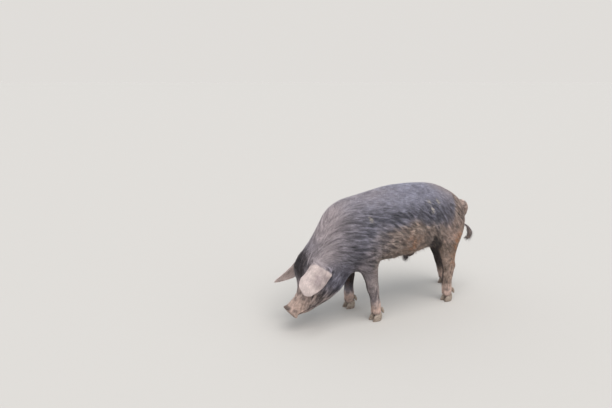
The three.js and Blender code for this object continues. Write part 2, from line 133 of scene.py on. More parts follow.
# ------------------------------------------------------------------ numbers that vary smoothly
def lengths(vectors):
    """The length of each vector."""
    return np.linalg.norm(vectors, axis=1)


def units(vectors):
    """Each vector made one long."""
    return vectors / np.maximum(lengths(vectors), 1e-12)[:, None]


def smoothstep(low, high, value):
    """0 up to low and 1 from high on, with a smooth rise between."""
    t = np.clip((value - low) / (high - low), 0, 1)
    return t * t * (3 - 2 * t)


def window(value, start, full, fading, end):
    """0 up to start, 1 between full and fading, and 0 again from end on."""
    return smoothstep(start, full, value) * smoothstep(end, fading, value)


def hashed(cell, seed):
    """A number from 0 to 1 for each cell of a grid, without order but always the same."""
    mixed = cell @ (374761393, 668265263, 2147483647) + seed * 144665  # large numbers that mix the bits
    mixed = (mixed ^ (mixed >> 13)) * 1274126177
    return ((mixed ^ (mixed >> 16)) & 0xFFFF) / 65535.0


def noise(points, size, seed=0):
    """Smooth value noise from -1 to 1, with features about size across."""
    scaled = np.asarray(points) / size
    base = np.floor(scaled).astype(np.int64)
    part = scaled - base
    part = part * part * (3 - 2 * part)
    total = np.zeros(len(scaled))
    for corner in range(8):
        offset = np.array([corner & 1, corner >> 1 & 1, corner >> 2 & 1])
        weight = np.prod(np.where(offset, part, 1 - part), axis=1)
        total += weight * hashed(base + offset, seed)
    return 2 * total - 1


def near(points, centre, radii):
    """1 at a centre, fading to 0 at a few radii (a bell curve). radii is one number or one per axis."""
    away = (points - np.asarray(centre, float)) / np.asarray(radii, float)
    return np.exp(-np.sum(away * away, axis=1))


def distance_to_path(points, path):
    """Distance to a line through points, and how far along it the nearest point is, from 0 to 1."""
    path = np.asarray(path, float)
    best = np.full(len(points), np.inf)
    share = np.zeros(len(points))
    for i in range(len(path) - 1):
        start, step = path[i], path[i + 1] - path[i]
        along = np.clip((points - start) @ step / (step @ step), 0, 1)
        gap = lengths(points - start - along[:, None] * step)
        closer = gap < best
        best[closer] = gap[closer]
        share[closer] = (i + along[closer]) / (len(path) - 1)
    return best, share


# ------------------------------------------------------------------ meshes
def read(items, field, width, kind=np.float32):
    """A field of all of a mesh's items, as rows of some numbers."""
    flat = np.empty(len(items) * width, kind)
    items.foreach_get(field, flat)
    return flat.reshape(-1, width)


def positions(mesh):
    return read(mesh.vertices, "co", 3).astype(float)


def set_positions(mesh, points):
    mesh.vertices.foreach_set("co", points.astype(np.float32).ravel())
    mesh.update()


def normals(mesh):
    return read(mesh.vertex_normals, "vector", 3).astype(float)


def edges_of(mesh):
    return read(mesh.edges, "vertices", 2, np.int32)


def relax(points, edges, weight, times):
    """Moves each point towards the middle of its neighbours, by its weight, a number of times."""
    count = len(points)
    degree = np.bincount(edges.ravel(), minlength=count)
    a, b = edges[:, 0], edges[:, 1]
    for _ in range(times):
        middles = np.empty_like(points)
        for axis in range(3):
            line = points[:, axis]
            total = np.bincount(a, line[b], count) + np.bincount(b, line[a], count)
            middles[:, axis] = total / degree
        points = points + weight[:, None] * (middles - points)
    return points


def new_object(name, mesh):
    made = bpy.data.objects.new(name, mesh)
    bpy.context.scene.collection.objects.link(made)
    return made


def joined(name, nodes, grow=()):
    """A new object with copies of the meshes of several CAD nodes. grow says which are thickened."""
    bm = bmesh.new()
    for node in nodes:
        piece = bmesh.new()
        piece.from_mesh(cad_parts[node].data)
        bmesh.ops.remove_doubles(piece, verts=piece.verts, dist=1e-5)
        piece.normal_update()
        if node in grow:
            for vertex in piece.verts:
                vertex.co += vertex.normal * EAR_GROWTH
        mesh = bpy.data.meshes.new("part")
        piece.to_mesh(mesh)
        piece.free()
        bm.from_mesh(mesh)
        bpy.data.meshes.remove(mesh)
    mesh = bpy.data.meshes.new(name)
    bm.to_mesh(mesh)
    bm.free()
    return new_object(name, mesh)


def settle(obj):
    """Replaces an object's mesh with what its modifiers make of it, and drops them."""
    graph = bpy.context.evaluated_depsgraph_get()
    mesh = bpy.data.meshes.new_from_object(obj.evaluated_get(graph))
    obj.modifiers.clear()
    obj.data = mesh
    return obj


def remeshed(obj, step):
    modifier = obj.modifiers.new("remesh", "REMESH")
    modifier.mode = "VOXEL"
    modifier.voxel_size = step
    modifier.use_smooth_shade = True
    return settle(obj)


def shade_smooth(mesh):
    mesh.polygons.foreach_set("use_smooth", np.ones(len(mesh.polygons), bool))
    mesh.update()


# ------------------------------------------------------------------ regions of the body
# Pulls that shape the left ear's corners: a centre, a radius and a shift.
EAR_PULLS = [
    ((-0.526, -0.125, 0.366), 0.027, (0.017, -0.004, -0.012)),
    ((-0.747, -0.150, 0.298), 0.028, (0.008, -0.002, 0.003)),
    ((-0.700, -0.180, 0.276), 0.018, (0.002, -0.002, -0.005)),
]


def unpulled(at):
    """Where points of the left ear were before the pulls."""
    for centre, radius, shift in EAR_PULLS:
        at = at - np.outer(near(at, np.add(centre, shift), radius), shift)
    return at


def legness(points):
    """1 on the free part of a leg, 0 on the trunk."""
    found = np.zeros(len(points))
    for (end, sign), foot in FEET.items():
        top = 0.36 if end == "fore" else 0.40
        on_side = smoothstep(0.02, 0.05, sign * (points[:, 1] - MID_Y))
        here = smoothstep(top, top - 0.10, points[:, 2]) * on_side
        found = np.maximum(found, here * (np.abs(points[:, 0] - foot[0]) < 0.25))
    return found * (points[:, 0] > -0.36)


def headness(points):
    """1 on the head, from the poll forward."""
    forward = head_coordinates(points)[:, 0]
    return smoothstep(-0.17, -0.09, forward) * smoothstep(-0.30, -0.42, points[:, 0])


def in_node(points, node, margin):
    """1 inside a CAD node's box, fading out over a margin round it."""
    low, high = corners(node)
    outside = np.maximum(low - points, points - high).max(axis=1)
    return smoothstep(margin, 0, outside)


def node_share(points, node, reach):
    """1 on the surface of a CAD node, 0 further than reach from it."""
    bm = bmesh.new()
    bm.from_mesh(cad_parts[node].data)
    node_tree = BVHTree.FromBMesh(bm)
    bm.free()
    found = np.zeros(len(points))
    close = in_node(points, node, 0.012) > 0
    gaps = np.array([node_tree.find_nearest(Vector(p))[3] for p in points[close]])
    found[close] = smoothstep(reach, 0.3 * reach, gaps)
    return found


def thinness(points, names=(*EAR_NAMES, "tail")):
    """1 on the thin parts, which are the ears and tail."""
    return np.max([node_share(points, name, 0.010) for name in names], axis=0)


# ------------------------------------------------------------------ skin: base form
skin = remeshed(joined("skin", FLESH, grow=EAR_NAMES), SKIN_STEP)
points = positions(skin.data)
region_parts = {
    "leg": legness(points),
    "head": headness(points),
    "thin": np.maximum(thinness(points, ["tail"]), in_node(points, "nose", 0.010)),
    "ear": thinness(points, EAR_NAMES),
}
radius = np.full(len(points), SMOOTHING["body"])
for region, part in region_parts.items():
    radius = radius + (SMOOTHING[region] - radius) * part
STRONGEST = 0.9  # share of the way to the neighbours' middle that one pass moves a point
# Each pass blurs by a fixed part of a grid step, so a radius takes the square of its steps.
times = int(math.ceil((SMOOTHING["body"] / SKIN_STEP) ** 2 / (STRONGEST / 2)))
points = relax(points, edges_of(skin.data), STRONGEST * (radius / SMOOTHING["body"]) ** 2, times)
set_positions(skin.data, points)


# ------------------------------------------------------------------ skin: finer mesh on the head and feet
def refine(obj, chosen):
    """Halves the edges of the faces whose corners are all chosen by a function of positions."""
    bm = bmesh.new()
    bm.from_mesh(obj.data)
    inside = chosen(positions(obj.data))
    picked = {e for f in bm.faces if all(inside[v.index] for v in f.verts) for e in f.edges}
    bmesh.ops.subdivide_edges(bm, edges=list(picked), cuts=1, use_grid_fill=True)
    bm.to_mesh(obj.data)
    bm.free()


def foot_height(points):
    """How high a point is, or a large number where it isn't on a foot."""
    far = np.full(len(points), 1.0)
    for foot in FEET.values():
        close = lengths(points[:, :2] - foot[:2]) < 0.09
        far[close] = points[close, 2]
    return far


# The line of the lips, as places forward and up on the head.
MOUTH = [(0.222, -0.034), (0.200, -0.050), (0.176, -0.072), (0.152, -0.096), (0.130, -0.112), (0.112, -0.114)]


def face_detail(points):
    """True near the eyes, the mouth and the nose."""
    forward, _, up = head_coordinates(points).T
    flat = np.c_[forward, up, np.zeros(len(points))]
    at_mouth = (distance_to_path(flat, [(*place, 0) for place in MOUTH])[0] < 0.010) & (forward > 0.09)
    return at_mouth | (eye_distance(points) < 0.027) | (in_node(points, "nose", 0.006) > 0)


refine(skin, lambda at: (headness(at) > 0.4) | (foot_height(at) < 0.13))
if FINE:
    refine(skin, face_detail)
    refine(skin, lambda at: eye_distance(at) < 0.0185)
points = positions(skin.data)
points = relax(points, edges_of(skin.data), np.full(len(points), 0.5), 4)
set_positions(skin.data, points)
shade_smooth(skin.data)
normal = normals(skin.data)
tree = BVHTree.FromObject(skin, bpy.context.evaluated_depsgraph_get())


# ------------------------------------------------------------------ skin: forms pushed out and in
loose = 1 - thinness(points, EAR_NAMES)  # the ears keep still when the head is shaped


def surface(start, direction):
    """Where a ray from a point first meets the smooth skin."""
    hit = tree.ray_cast(Vector(start), Vector(direction))[0]
    if hit is None:
        hit = tree.find_nearest(Vector(start))[0]
    return np.array(hit)


def flank_point(x, z, sign):
    """A point on a flank, seen from that side."""
    return surface((x, MID_Y + 0.6 * sign, z), (0, -sign, 0))


def rear_point(side, z):
    """A point on the hams, seen from behind."""
    return surface((0.9, MID_Y + side, z), (-1, 0, 0))


def face_point(forward, up, sign):
    """A point on the side of the head."""
    return surface(head_point(forward, 0.4 * sign, up), -sign * HEAD_SIDE)


def brow_point(forward, side):
    """A point on the upper face of the head."""
    return surface(head_point(forward, side, 0.3), -HEAD_UP)


def bulge(centre, radii, amount):
    """Pushes the skin along its normals round a centre; a negative amount makes a hollow."""
    close = lengths(points - np.asarray(centre)) < 3 * np.max(radii)
    push = amount * loose[close] * near(points[close], centre, radii)
    points[close] += normal[close] * push[:, None]


def fold(path, width, depth, lip=0.35):
    """A groove along a path, with a soft lip on either side, that fades at both ends."""
    path = np.asarray(path, float)
    reach = 4 * width
    close = np.all((points > path.min(0) - reach) & (points < path.max(0) + reach), axis=1)
    gap, share = distance_to_path(points[close], path)
    ends = np.sin(np.pi * np.clip(share, 0.02, 0.98)) ** 0.5
    profile = lip * np.exp(-((gap / width - 1.9) / 0.8) ** 2) - np.exp(-((gap / width) ** 2))
    points[close] += normal[close] * (depth * profile * ends * loose[close])[:, None]


def bulges(place, *rows):
    """Several bulges. A row holds the place's coordinates, the radii and the amount."""
    for coordinates, radii, amount in rows:
        bulge(place(*coordinates), radii, amount)


def folds(place, *rows):
    """Several folds. A row holds the width, the depth and the coordinates of the path's places."""
    for width, depth, *path in rows:
        fold([place(*coordinates) for coordinates in path], width, depth)


def leg_slice(end, sign, height):
    """The middle and half length and width of a leg's cross-section at a height."""
    foot = FEET[end, sign]
    here = (np.abs(points[:, 2] - height) < 0.006) & (np.abs(points[:, 0] - foot[0]) < 0.16)
    here &= np.abs(points[:, 1] - foot[1]) < 0.08
    low, high = points[here].min(0), points[here].max(0)
    return np.array([*((low + high) / 2)[:2], height]), (high - low)[:2] / 2


def sculpt_trunk(sign):
    """Shoulder blade, upper arm, hip, ham and ribs, the folds behind the arm and the teats."""
    def flank(x, z):
        return flank_point(x, z, sign)

    for x, z in ((-0.245, 0.72), (-0.26, 0.64), (-0.285, 0.55), (-0.30, 0.47)):
        bulge(flank(x, z), 0.055, 0.0035)
    bulges(
        flank,
        ((-0.185, 0.64), 0.07, -0.004),
        ((-0.36, 0.62), 0.06, -0.003),
        ((-0.26, 0.42), (0.07, 0.05, 0.06), 0.007),
        ((-0.30, 0.38), 0.05, 0.004),
    )
    folds(
        flank,
        (0.011, 0.006, *ARM_FOLD),
        (0.007, 0.0025, (-0.185, 0.55), (-0.172, 0.5), (-0.155, 0.45), (-0.14, 0.41)),
        (0.006, 0.002, (-0.15, 0.5), (-0.11, 0.475), (-0.06, 0.465)),
    )
    bulges(
        flank,
        ((0.24, 0.70), 0.045, 0.005),
        ((0.16, 0.61), (0.08, 0.08, 0.06), -0.006),
        ((0.42, 0.56), (0.07, 0.07, 0.09), 0.006),
        ((0.31, 0.48), (0.06, 0.06, 0.07), 0.004),
        ((0.245, 0.425), (0.022, 0.030, 0.034), -0.009),
    )
    folds(
        flank,
        (0.014, 0.006, (0.20, 0.54), *FLANK_FOLD),
        (0.009, 0.002, (0.235, 0.56), (0.262, 0.5), (0.275, 0.45)),
        (0.02, 0.003, (0.385, 0.62), (0.375, 0.55), (0.37, 0.48), (0.38, 0.42)),
    )
    for share in np.linspace(0, 1, 5):
        bulge(flank(-0.15 + 0.09 * share, 0.55 - 0.03 * share), (0.012, 0.05, 0.07), 0.0012)
    for teat in range(6):
        x = -0.12 + 0.078 * teat
        place = surface((x, MID_Y + sign * (0.045 + 0.006 * (teat % 2)), 0.1), Z)
        bulge(place, 0.014, 0.003)
        bulge(place, 0.0065, 0.008)


def front_folds(place, inner, outer, heights, width, depth):
    """Level folds over the front of a joint, at heights over a place inside it."""
    for height in heights:
        sides = (-outer, -inner, inner, outer)
        fold([surface(place + (-0.2, y, height), X) for y in sides], width, depth)


def sculpt_leg(end, sign):
    """Knee or hock, elbow, tendons and fetlock, and the split between the claws."""
    foot = FEET[end, sign]
    if end == "fore":
        knee, (long, wide) = leg_slice(end, sign, 0.200)
        bulge(knee + (-long, 0, 0.004), (0.022, 0.026, 0.028), 0.005)
        bulge(knee + (long, 0, 0.016), (0.014, 0.016, 0.016), 0.007)
        front_folds(knee, 0.012, 0.03, (0.022, -0.020), 0.0045, 0.0018)
        elbow, (long, wide) = leg_slice(end, sign, 0.355)
        bulge(elbow + (long, 0, 0), (0.03, 0.035, 0.03), 0.008)
        cannon_height, tendon = 0.150, 0.012
    else:
        hock, (long, wide) = leg_slice(end, sign, 0.232)
        bulge(hock + (long, 0, 0.006), (0.020, 0.018, 0.026), 0.011)
        bulge(hock + (-long, 0, -0.01), 0.03, -0.003)
        for across in (-1, 1):
            bulge(hock + (0, across * wide, -0.004), (0.016, 0.016, 0.020), 0.003)
            shin, (long, wide) = leg_slice(end, sign, 0.290)
            bulge(shin + (0.45 * long, across * wide, 0), (0.014, 0.02, 0.040), -0.006)
        front_folds(hock * (1, 1, 0), 0.01, 0.03, (0.205, 0.215), 0.005, 0.0016)
        cannon_height, tendon = 0.130, 0.010
    cannon, (long, wide) = leg_slice(end, sign, cannon_height)
    for across in (-1, 1):
        bulge(cannon + (0.35 * long, across * wide, 0), (0.008, 0.012, 0.032), -0.0035)
        bulge(cannon + (tendon, across * wide * 0.7, -0.05), (0.014, 0.014, 0.012), 0.003)
    fetlock, (long, wide) = leg_slice(end, sign, 0.085)
    bulge(fetlock + (-long, 0, 0.012), (0.018, 0.022, 0.016), 0.003)
    front_folds(fetlock, 0.01, 0.026, (0.004, -0.009), 0.004, 0.0014)
    front = [surface((foot[0] - 0.2, foot[1], z), X) for z in (0.070, 0.056, 0.044, 0.034)]
    fold(front, 0.006, 0.007, lip=0.5)
    back = [surface((foot[0] + 0.2, foot[1], z), -X) for z in (0.066, 0.052, 0.040)]
    fold(back, 0.006, 0.005, lip=0.5)
    for claw in (-1, 1):
        bulge(foot + np.array([-0.012, claw * 0.018, 0.030]), (0.024, 0.014, 0.014), 0.002)
    bulge(foot + Y * sign * 0.02, 0.03, 0.001)


def sculpt_head(sign):
    """Cheekbone, jaw and jowl, and the folds of the face, the lips and the snout."""
    def face(forward, up):
        return face_point(forward, up, sign)

    bulge(head_point(-0.030, 0.070 * sign, 0.040), (0.034, 0.034, 0.030), 0.008)
    bulges(
        face,
        ((0.002, 0.0), (0.030, 0.030, 0.026), 0.0035),
        ((-0.045, -0.010), 0.03, -0.005),
        ((0.045, -0.020), (0.030, 0.03, 0.016), 0.005),
        ((0.050, -0.115), 0.050, 0.009),
        ((-0.01, -0.185), (0.055, 0.05, 0.045), 0.008),
        ((0.100, -0.045), (0.040, 0.03, 0.022), -0.006),
        ((0.165, -0.020), (0.022, 0.03, 0.020), 0.003),
    )
    bulge(brow_point(0.10, 0.030 * sign), 0.05, -0.002)
    folds(
        face,
        (0.0055, 0.0024, (0.028, -0.012), (0.045, -0.034), (0.070, -0.054), (0.092, -0.066)),
        (0.0045, 0.0016, (0.014, -0.022), (0.032, -0.046), (0.060, -0.070)),
        (0.008, 0.003, (0.110, -0.095), (0.088, -0.110), (0.075, -0.130), (0.072, -0.150)),
        (0.020, 0.0022, (-0.10, -0.07), (-0.11, -0.12), (-0.095, -0.18), (-0.06, -0.225)),
        (0.024, 0.0014, (-0.16, -0.06), (-0.18, -0.12), (-0.16, -0.20)),
    )
    fold([face(*place) for place in MOUTH], 0.0034, 0.0065, lip=0.42)
    bulge(face(*MOUTH[-1]), 0.006, -0.003)
    wrinkles = ((0.185, 0.0024), (0.168, 0.0022), (0.150, 0.0018), (0.131, 0.0016), (0.108, 0.001))
    for step, (forward, depth) in enumerate(wrinkles):
        path = [brow_point(forward + 0.003 * (step % 2), 0.001 * sign)]
        path += [brow_point(forward - 0.002, 0.018 * sign)]
        path += [face(forward + 0.004, up) for up in (0.0, -0.016, -0.030)]
        fold(path, 0.0036, depth)
    fold([brow_point(f, (0.016 + 0.10 * (f + 0.05)) * sign) for f in (-0.07, -0.045, -0.02)], 0.006, 0.0015)


def eye_frame(sign):
    """Which way an eye looks, and the ways along and up its opening."""
    outward = unit(0.86 * sign * HEAD_SIDE + 0.36 * HEAD_UP + 0.36 * HEAD_FORWARD)
    along = unit(HEAD_FORWARD - outward * (HEAD_FORWARD @ outward))
    up = unit(HEAD_UP - outward * (HEAD_UP @ outward) - along * (HEAD_UP @ along))
    return outward, unit(along - 0.25 * up), unit(up + 0.25 * along)


EYE_SUNK = 0.002  # how far the eyeballs lie back from the places in the solids
OPENING = 0.0112  # half the length of the gap between the lids
LID = 0.0017  # thickness of a lid
CREASES_ABOVE = ((0.0048, 0.0010, 0.0017), (0.0092, 0.0014, 0.0012), (0.0150, 0.0018, 0.0009))
CREASES_BELOW = ((0.0045, 0.0010, 0.0012), (0.0085, 0.0013, 0.0011), (0.0130, 0.0016, 0.0008))
EYES = {}  # the middle of each eyeball, and its axes
for name, place, sign in (("eye_left", eye_left, -1), ("eye_right", eye_right, 1)):
    EYES[name] = (place - EYE_SUNK * eye_frame(sign)[0], eye_frame(sign))


def lid_edges(a):
    """Heights of the upper and the lower lid's edge at places along the opening."""
    arch = np.clip(1 - (a / OPENING) ** 2, 0, 1)
    return 0.0056 * arch ** 0.8, -0.0035 * arch


def on_ball(centre, axes, radius, a, b):
    """Points on a sphere round an eye, a along its opening and b up from it."""
    outward, along, up = axes
    w = np.sqrt(radius ** 2 - a * a - b * b)
    return centre + a[:, None] * along + b[:, None] * up + w[:, None] * outward


def lid_line(centre, axes, upper):
    """A line along the edge of a lid."""
    a = np.linspace(-OPENING, OPENING, 15)
    return on_ball(centre, axes, EYE_RADIUS + LID, a, lid_edges(a)[0 if upper else 1])


def sculpt_eye(centre, axes):
    """Lids round an almond-shaped opening on a low mound, with a brow and creases above and below."""
    outward, along, up = axes
    close = lengths(points - centre) < 0.052
    away = points[close] - centre
    a, b, w = away @ along, away @ up, away @ outward
    r = np.hypot(a, b)
    edge_top, edge_low = lid_edges(a)
    mound = w + 0.0085 * smoothstep(0.050, 0.015, r)
    mound += 0.0035 * np.exp(-(((b - 0.016) / 0.0055) ** 2) - (a / 0.018) ** 2)
    mound += 0.0016 * np.exp(-(((b + 0.013) / 0.0040) ** 2) - (a / 0.015) ** 2)
    inside = np.minimum(edge_top - b, b - edge_low) - np.maximum(np.abs(a) - OPENING, 0)
    lid = np.sqrt(np.clip((EYE_RADIUS + LID) ** 2 - r * r, 0, None))
    lid += 0.0007 * np.exp(-((inside / 0.0015) ** 2))
    cover = smoothstep(0.0235, 0.0110, r)
    target = mound * (1 - cover) + lid * cover
    for gap, width, depth in CREASES_ABOVE:
        crease = np.exp(-(((b - edge_top - gap) / width) ** 2))
        target -= depth * crease * smoothstep(0.017, 0.010, np.abs(a))
    for gap, width, depth in CREASES_BELOW:
        crease = np.exp(-(((edge_low - gap - b) / width) ** 2))
        target -= depth * crease * smoothstep(0.016, 0.009, np.abs(a))
    opened = smoothstep(-0.0002, 0.0006, inside)
    target = target * (1 - opened) + 0.002 * opened
    points[close] += outward * ((target - w) * smoothstep(0.3, 0.8, loose[close]))[:, None]


NOSE_TILT = math.radians(40)  # how far below level the snout disc faces
NOSE_AXIS = np.array([-math.cos(NOSE_TILT), 0, -math.sin(NOSE_TILT)])
NOSE_UP = unit(np.cross(HEAD_SIDE, NOSE_AXIS))
NOSE_HALF = (corners("nose")[1] - corners("nose")[0])[1] / 2
NOSTRIL_SIDE, NOSTRIL_LOW = 0.0185, 0.003  # from the disc's middle


def sculpt_nose():
    """Deep nostrils in a pitted disc with a raised, notched rim."""
    disc = middle("nose")
    front = surface(disc + NOSE_AXIS * 0.1, -NOSE_AXIS)
    away = points - front
    across, up = away @ HEAD_SIDE, away @ NOSE_UP
    facing = (normal @ NOSE_AXIS > 0.3) & (in_node(points, "nose", 0.004) > 0.5)
    from_middle = np.hypot(across, up * 1.15) / NOSE_HALF
    change = 0.0016 * np.exp(-(((from_middle - 0.86) / 0.09) ** 2))
    change -= 0.0014 * np.exp(-((from_middle - 0.66) / 0.12) ** 2)
    change -= 0.0022 * np.exp(-((across / 0.0022) ** 2)) * smoothstep(0.004, 0.014, up)
    change += 0.0005 * noise(points, 0.004, 41)
    for sign in (-1, 1):
        reach = np.hypot((across - sign * NOSTRIL_SIDE) / 0.0088, (up + NOSTRIL_LOW) / 0.0108)
        rim = 0.0020 * np.exp(-(((reach - 1.42) / 0.32) ** 2))
        change = change * smoothstep(0.8, 1.5, reach) + rim
        change -= 0.0135 * smoothstep(1.22, 0.72, reach)
    points[facing] += NOSE_AXIS * change[facing][:, None]
    top = smoothstep(0.25, 0.95, up / NOSE_HALF)
    flare = (0.0010 + 0.0045 * top) * smoothstep(0.65, 1.0, from_middle)
    flare = flare * smoothstep(-0.028, -0.008, away @ NOSE_AXIS)
    flare = flare * in_node(points, "nose", 0.004)
    outwards = units(np.outer(across, HEAD_SIDE) + np.outer(up, NOSE_UP))
    points[:] += outwards * flare[:, None] + np.outer(0.5 * top * flare, NOSE_AXIS)


def sculpt_rear():
    """The cleft between the hams, the vent under the tail and the opening of the sheath."""
    fold([rear_point(0, z) for z in (0.545, 0.50, 0.46, 0.43)], 0.022, 0.019, lip=0.30)
    vent = surface((0.9, MID_Y, 0.560), (-1, 0, -0.1))
    bulge(vent, 0.020, 0.004)
    bulge(vent, 0.007, -0.009)
    bulge((0.655, MID_Y, 0.590), (0.030, 0.03, 0.035), 0.007)
    bulge((0.715, MID_Y, 0.410), (0.060, 0.03, 0.060), 0.0025)
    for side in (-1, 1):
        path = ((side * 0.020, 0.600), (side * 0.030, 0.57), (side * 0.034, 0.53))
        folds(rear_point, (0.008, 0.003, *path))
    opening = surface((corners("sheath")[0][0] + 0.012, MID_Y, 0.1), Z)
    bulge(opening + (0.030, 0, 0), (0.034, 0.022, 0.022), 0.018)
    bulge(opening, 0.010, 0.006)
    bulge(opening + (-0.006, 0, 0.003), 0.005, -0.007)


def sculpt_ear(name):
    """Soft ridges along the ear and a rim that curls in, on both faces at once."""
    cad_points = positions(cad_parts[name].data)
    centre = cad_points.mean(0)
    thin_way, across, along = np.linalg.eigh(np.cov((cad_points - centre).T))[1].T
    if thin_way[2] < 0:
        thin_way = -thin_way
    away = points - centre
    s, t = away @ along / 0.13, away @ across / 0.06
    wave = 0.0032 * np.sin(5.5 * t + 1.3 * s) * smoothstep(1.0, 0.2, np.abs(s))
    wave += 0.0020 * noise(points, 0.030, 51)
    curl = -0.004 * smoothstep(0.55, 1.1, np.abs(t)) * smoothstep(-0.9, -0.3, -np.abs(s))
    share = (1 - loose) * (in_node(points, name, 0.012) > 0)
    inset = 0.0018 * share * smoothstep(0.55, 0.90, np.abs(normal @ thin_way))
    points[:] -= normal * inset[:, None]
    points[:] += thin_way * ((wave + curl) * share)[:, None]
    for pull_centre, radius, shift in EAR_PULLS if name == "ear_left" else []:
        points[:] += np.outer(near(points, pull_centre, radius) * share, shift)


sculpt_rear()
for name in EAR_NAMES:
    sculpt_ear(name)
for sign in (-1, 1):
    sculpt_trunk(sign)
    for end in ("fore", "hind"):
        sculpt_leg(end, sign)
    sculpt_head(sign)
sculpt_nose()
for name in EYES:
    sculpt_eye(*EYES[name])
eye_gap = eye_distance(points)
points = relax(points, edges_of(skin.data), 0.4 * smoothstep(0.030, 0.020, eye_gap), 2)
set_positions(skin.data, points)

# ------------------------------------------------------------------ skin: wrinkles and final mesh
normal = normals(skin.data)
firm = in_node(points, "nose", 0.004) + thinness(points) + smoothstep(0.050, 0.024, eye_gap)
soft = 1 - np.clip(firm, 0, 1)
for size, depth, seed in ((0.11, 0.0022, 1), (0.035, 0.0006, 2), (0.012, 0.0003, 3)):
    points += normal * (depth * soft * noise(points, size, seed))[:, None]
inset = COAT_DEPTH * smoothstep(0.10, 0.25, points[:, 2]) * (1 - 0.7 * headness(points)) * soft
points -= normal * inset[:, None]
points[:, 2] = np.maximum(points[:, 2], 0.004)  # only the claws touch the floor
set_positions(skin.data, points)


def thin_out(obj, triangles):
    """Brings a mesh down to about a number of triangles, most where it is flattest."""
    count = sum(len(face.vertices) - 2 for face in obj.data.polygons)
    if count > triangles:
        modifier = obj.modifiers.new("fewer", "DECIMATE")
        modifier.ratio = triangles / count
        settle(obj)


thin_out(skin, SKIN_TRIANGLES)
shade_smooth(skin.data)
skin.data.name = "skin"
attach(skin, "root")
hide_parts(*FLESH)

points = positions(skin.data)
normal = normals(skin.data)
tree = BVHTree.FromObject(skin, bpy.context.evaluated_depsgraph_get())


# ------------------------------------------------------------------ lie of the coat
# The middle line of the tail, as places along the body and over the floor.
TAIL = [
    (0.559, 0.600), (0.605, 0.614), (0.649, 0.600), (0.666, 0.562), (0.659, 0.518), (0.665, 0.480),
    (0.693, 0.456), (0.725, 0.430), (0.735, 0.392), (0.717, 0.362), (0.687, 0.368),
]
TAIL_PATH = np.array([(x, MID_Y, z) for x, z in TAIL])
EARS = {}  # the root and the tip of each ear
for name in EAR_NAMES:
    ear_points = positions(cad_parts[name].data)
    order = np.argsort(np.abs(head_coordinates(ear_points)[:, 1]))
    EARS[name] = (ear_points[order[:30]].mean(0), ear_points[order[-30:]].mean(0))


def flattened(way, facing):
    """Directions laid down along the surface whose normals are given."""
    return units(way - facing * np.sum(way * facing, axis=1)[:, None])


def blended(base, other, share):
    """Directions turned from a base to another, by a share each."""
    return base + (other - base) * share[:, None]


def region_shares(at):
    """How far each point belongs to a leg, the head, each ear and the tail."""
    shares = {"leg": legness(at), "head": headness(at)}
    for name in EAR_NAMES:
        shares[name] = node_share(unpulled(at) if name == "ear_left" else at, name, 0.015)
    shares["tail"] = smoothstep(0.575, 0.60, at[:, 0]) * smoothstep(0.30, 0.34, at[:, 2])
    return shares


def slope(x):
    """How steeply the hair lies on the flank: fall over run, growing towards the rump."""
    return 0.22 + 1.15 * np.clip((x + 0.35) / 0.9, 0, 1) ** 1.3


def slope_sum(x):
    """The slope added up along x, so that a hair's line keeps its height plus this."""
    run = np.clip((x + 0.35) / 0.9, 0, 1)
    return 0.22 * x + 1.15 * 0.9 * run ** 2.3 / 2.3


def hair_direction(at, facing, shares):
    """The way the coat lies at each point, along the surface."""
    steep = slope(at[:, 0]) * smoothstep(0.0, 0.10, aside(at))
    way = units(np.c_[np.ones(len(at)), np.zeros(len(at)), -steep])
    crest = smoothstep(-0.30, -0.42, at[:, 0]) * smoothstep(0.11, 0.02, aside(at))
    way = blended(way, np.array([0.62, 0, 0.78]), crest)
    way = blended(way, np.array([0.12, 0, -1.0]), shares["leg"])
    face = -HEAD_FORWARD + HEAD_SIDE * (5 * head_coordinates(at)[:, 1])[:, None] * 0.6
    way = blended(way, units(face), shares["head"])
    for name, (root, tip) in EARS.items():
        way = blended(way, unit(tip - root), shares[name])
    tail = shares["tail"] > 0
    if tail.any():
        stretch = distance_to_path(at[tail], TAIL_PATH)[1] * (len(TAIL_PATH) - 1)
        step = np.minimum(stretch.astype(int), len(TAIL_PATH) - 2)
        way[tail] = TAIL_PATH[step + 1] - TAIL_PATH[step]
    return flattened(way, facing)


def hair_place(at, shares):
    """Coordinates for streaks: the first runs along the hair and the second across it."""
    across_top = np.hypot(at[:, 1] - MID_Y, 0.80 - at[:, 2])
    side = smoothstep(0.0, 0.12, aside(at))
    across = slope_sum(at[:, 0]) * side - across_top
    along = at[:, 0] - 0.6 * at[:, 2]
    forward, sideways, up = head_coordinates(at).T
    leg_or_ear = np.maximum(shares["leg"], np.maximum(shares["ear_left"], shares["ear_right"]))
    across = across + (at[:, 0] * 0.8 + at[:, 1] * 0.6 - across) * leg_or_ear
    along = along + (at[:, 2] - along) * leg_or_ear
    across = across + (np.arctan2(sideways, up + 0.09) * 0.09 - across) * shares["head"]
    along = along + (forward - along) * shares["head"]
    return np.c_[along, across, 0.3 * (at[:, 1] > MID_Y)]


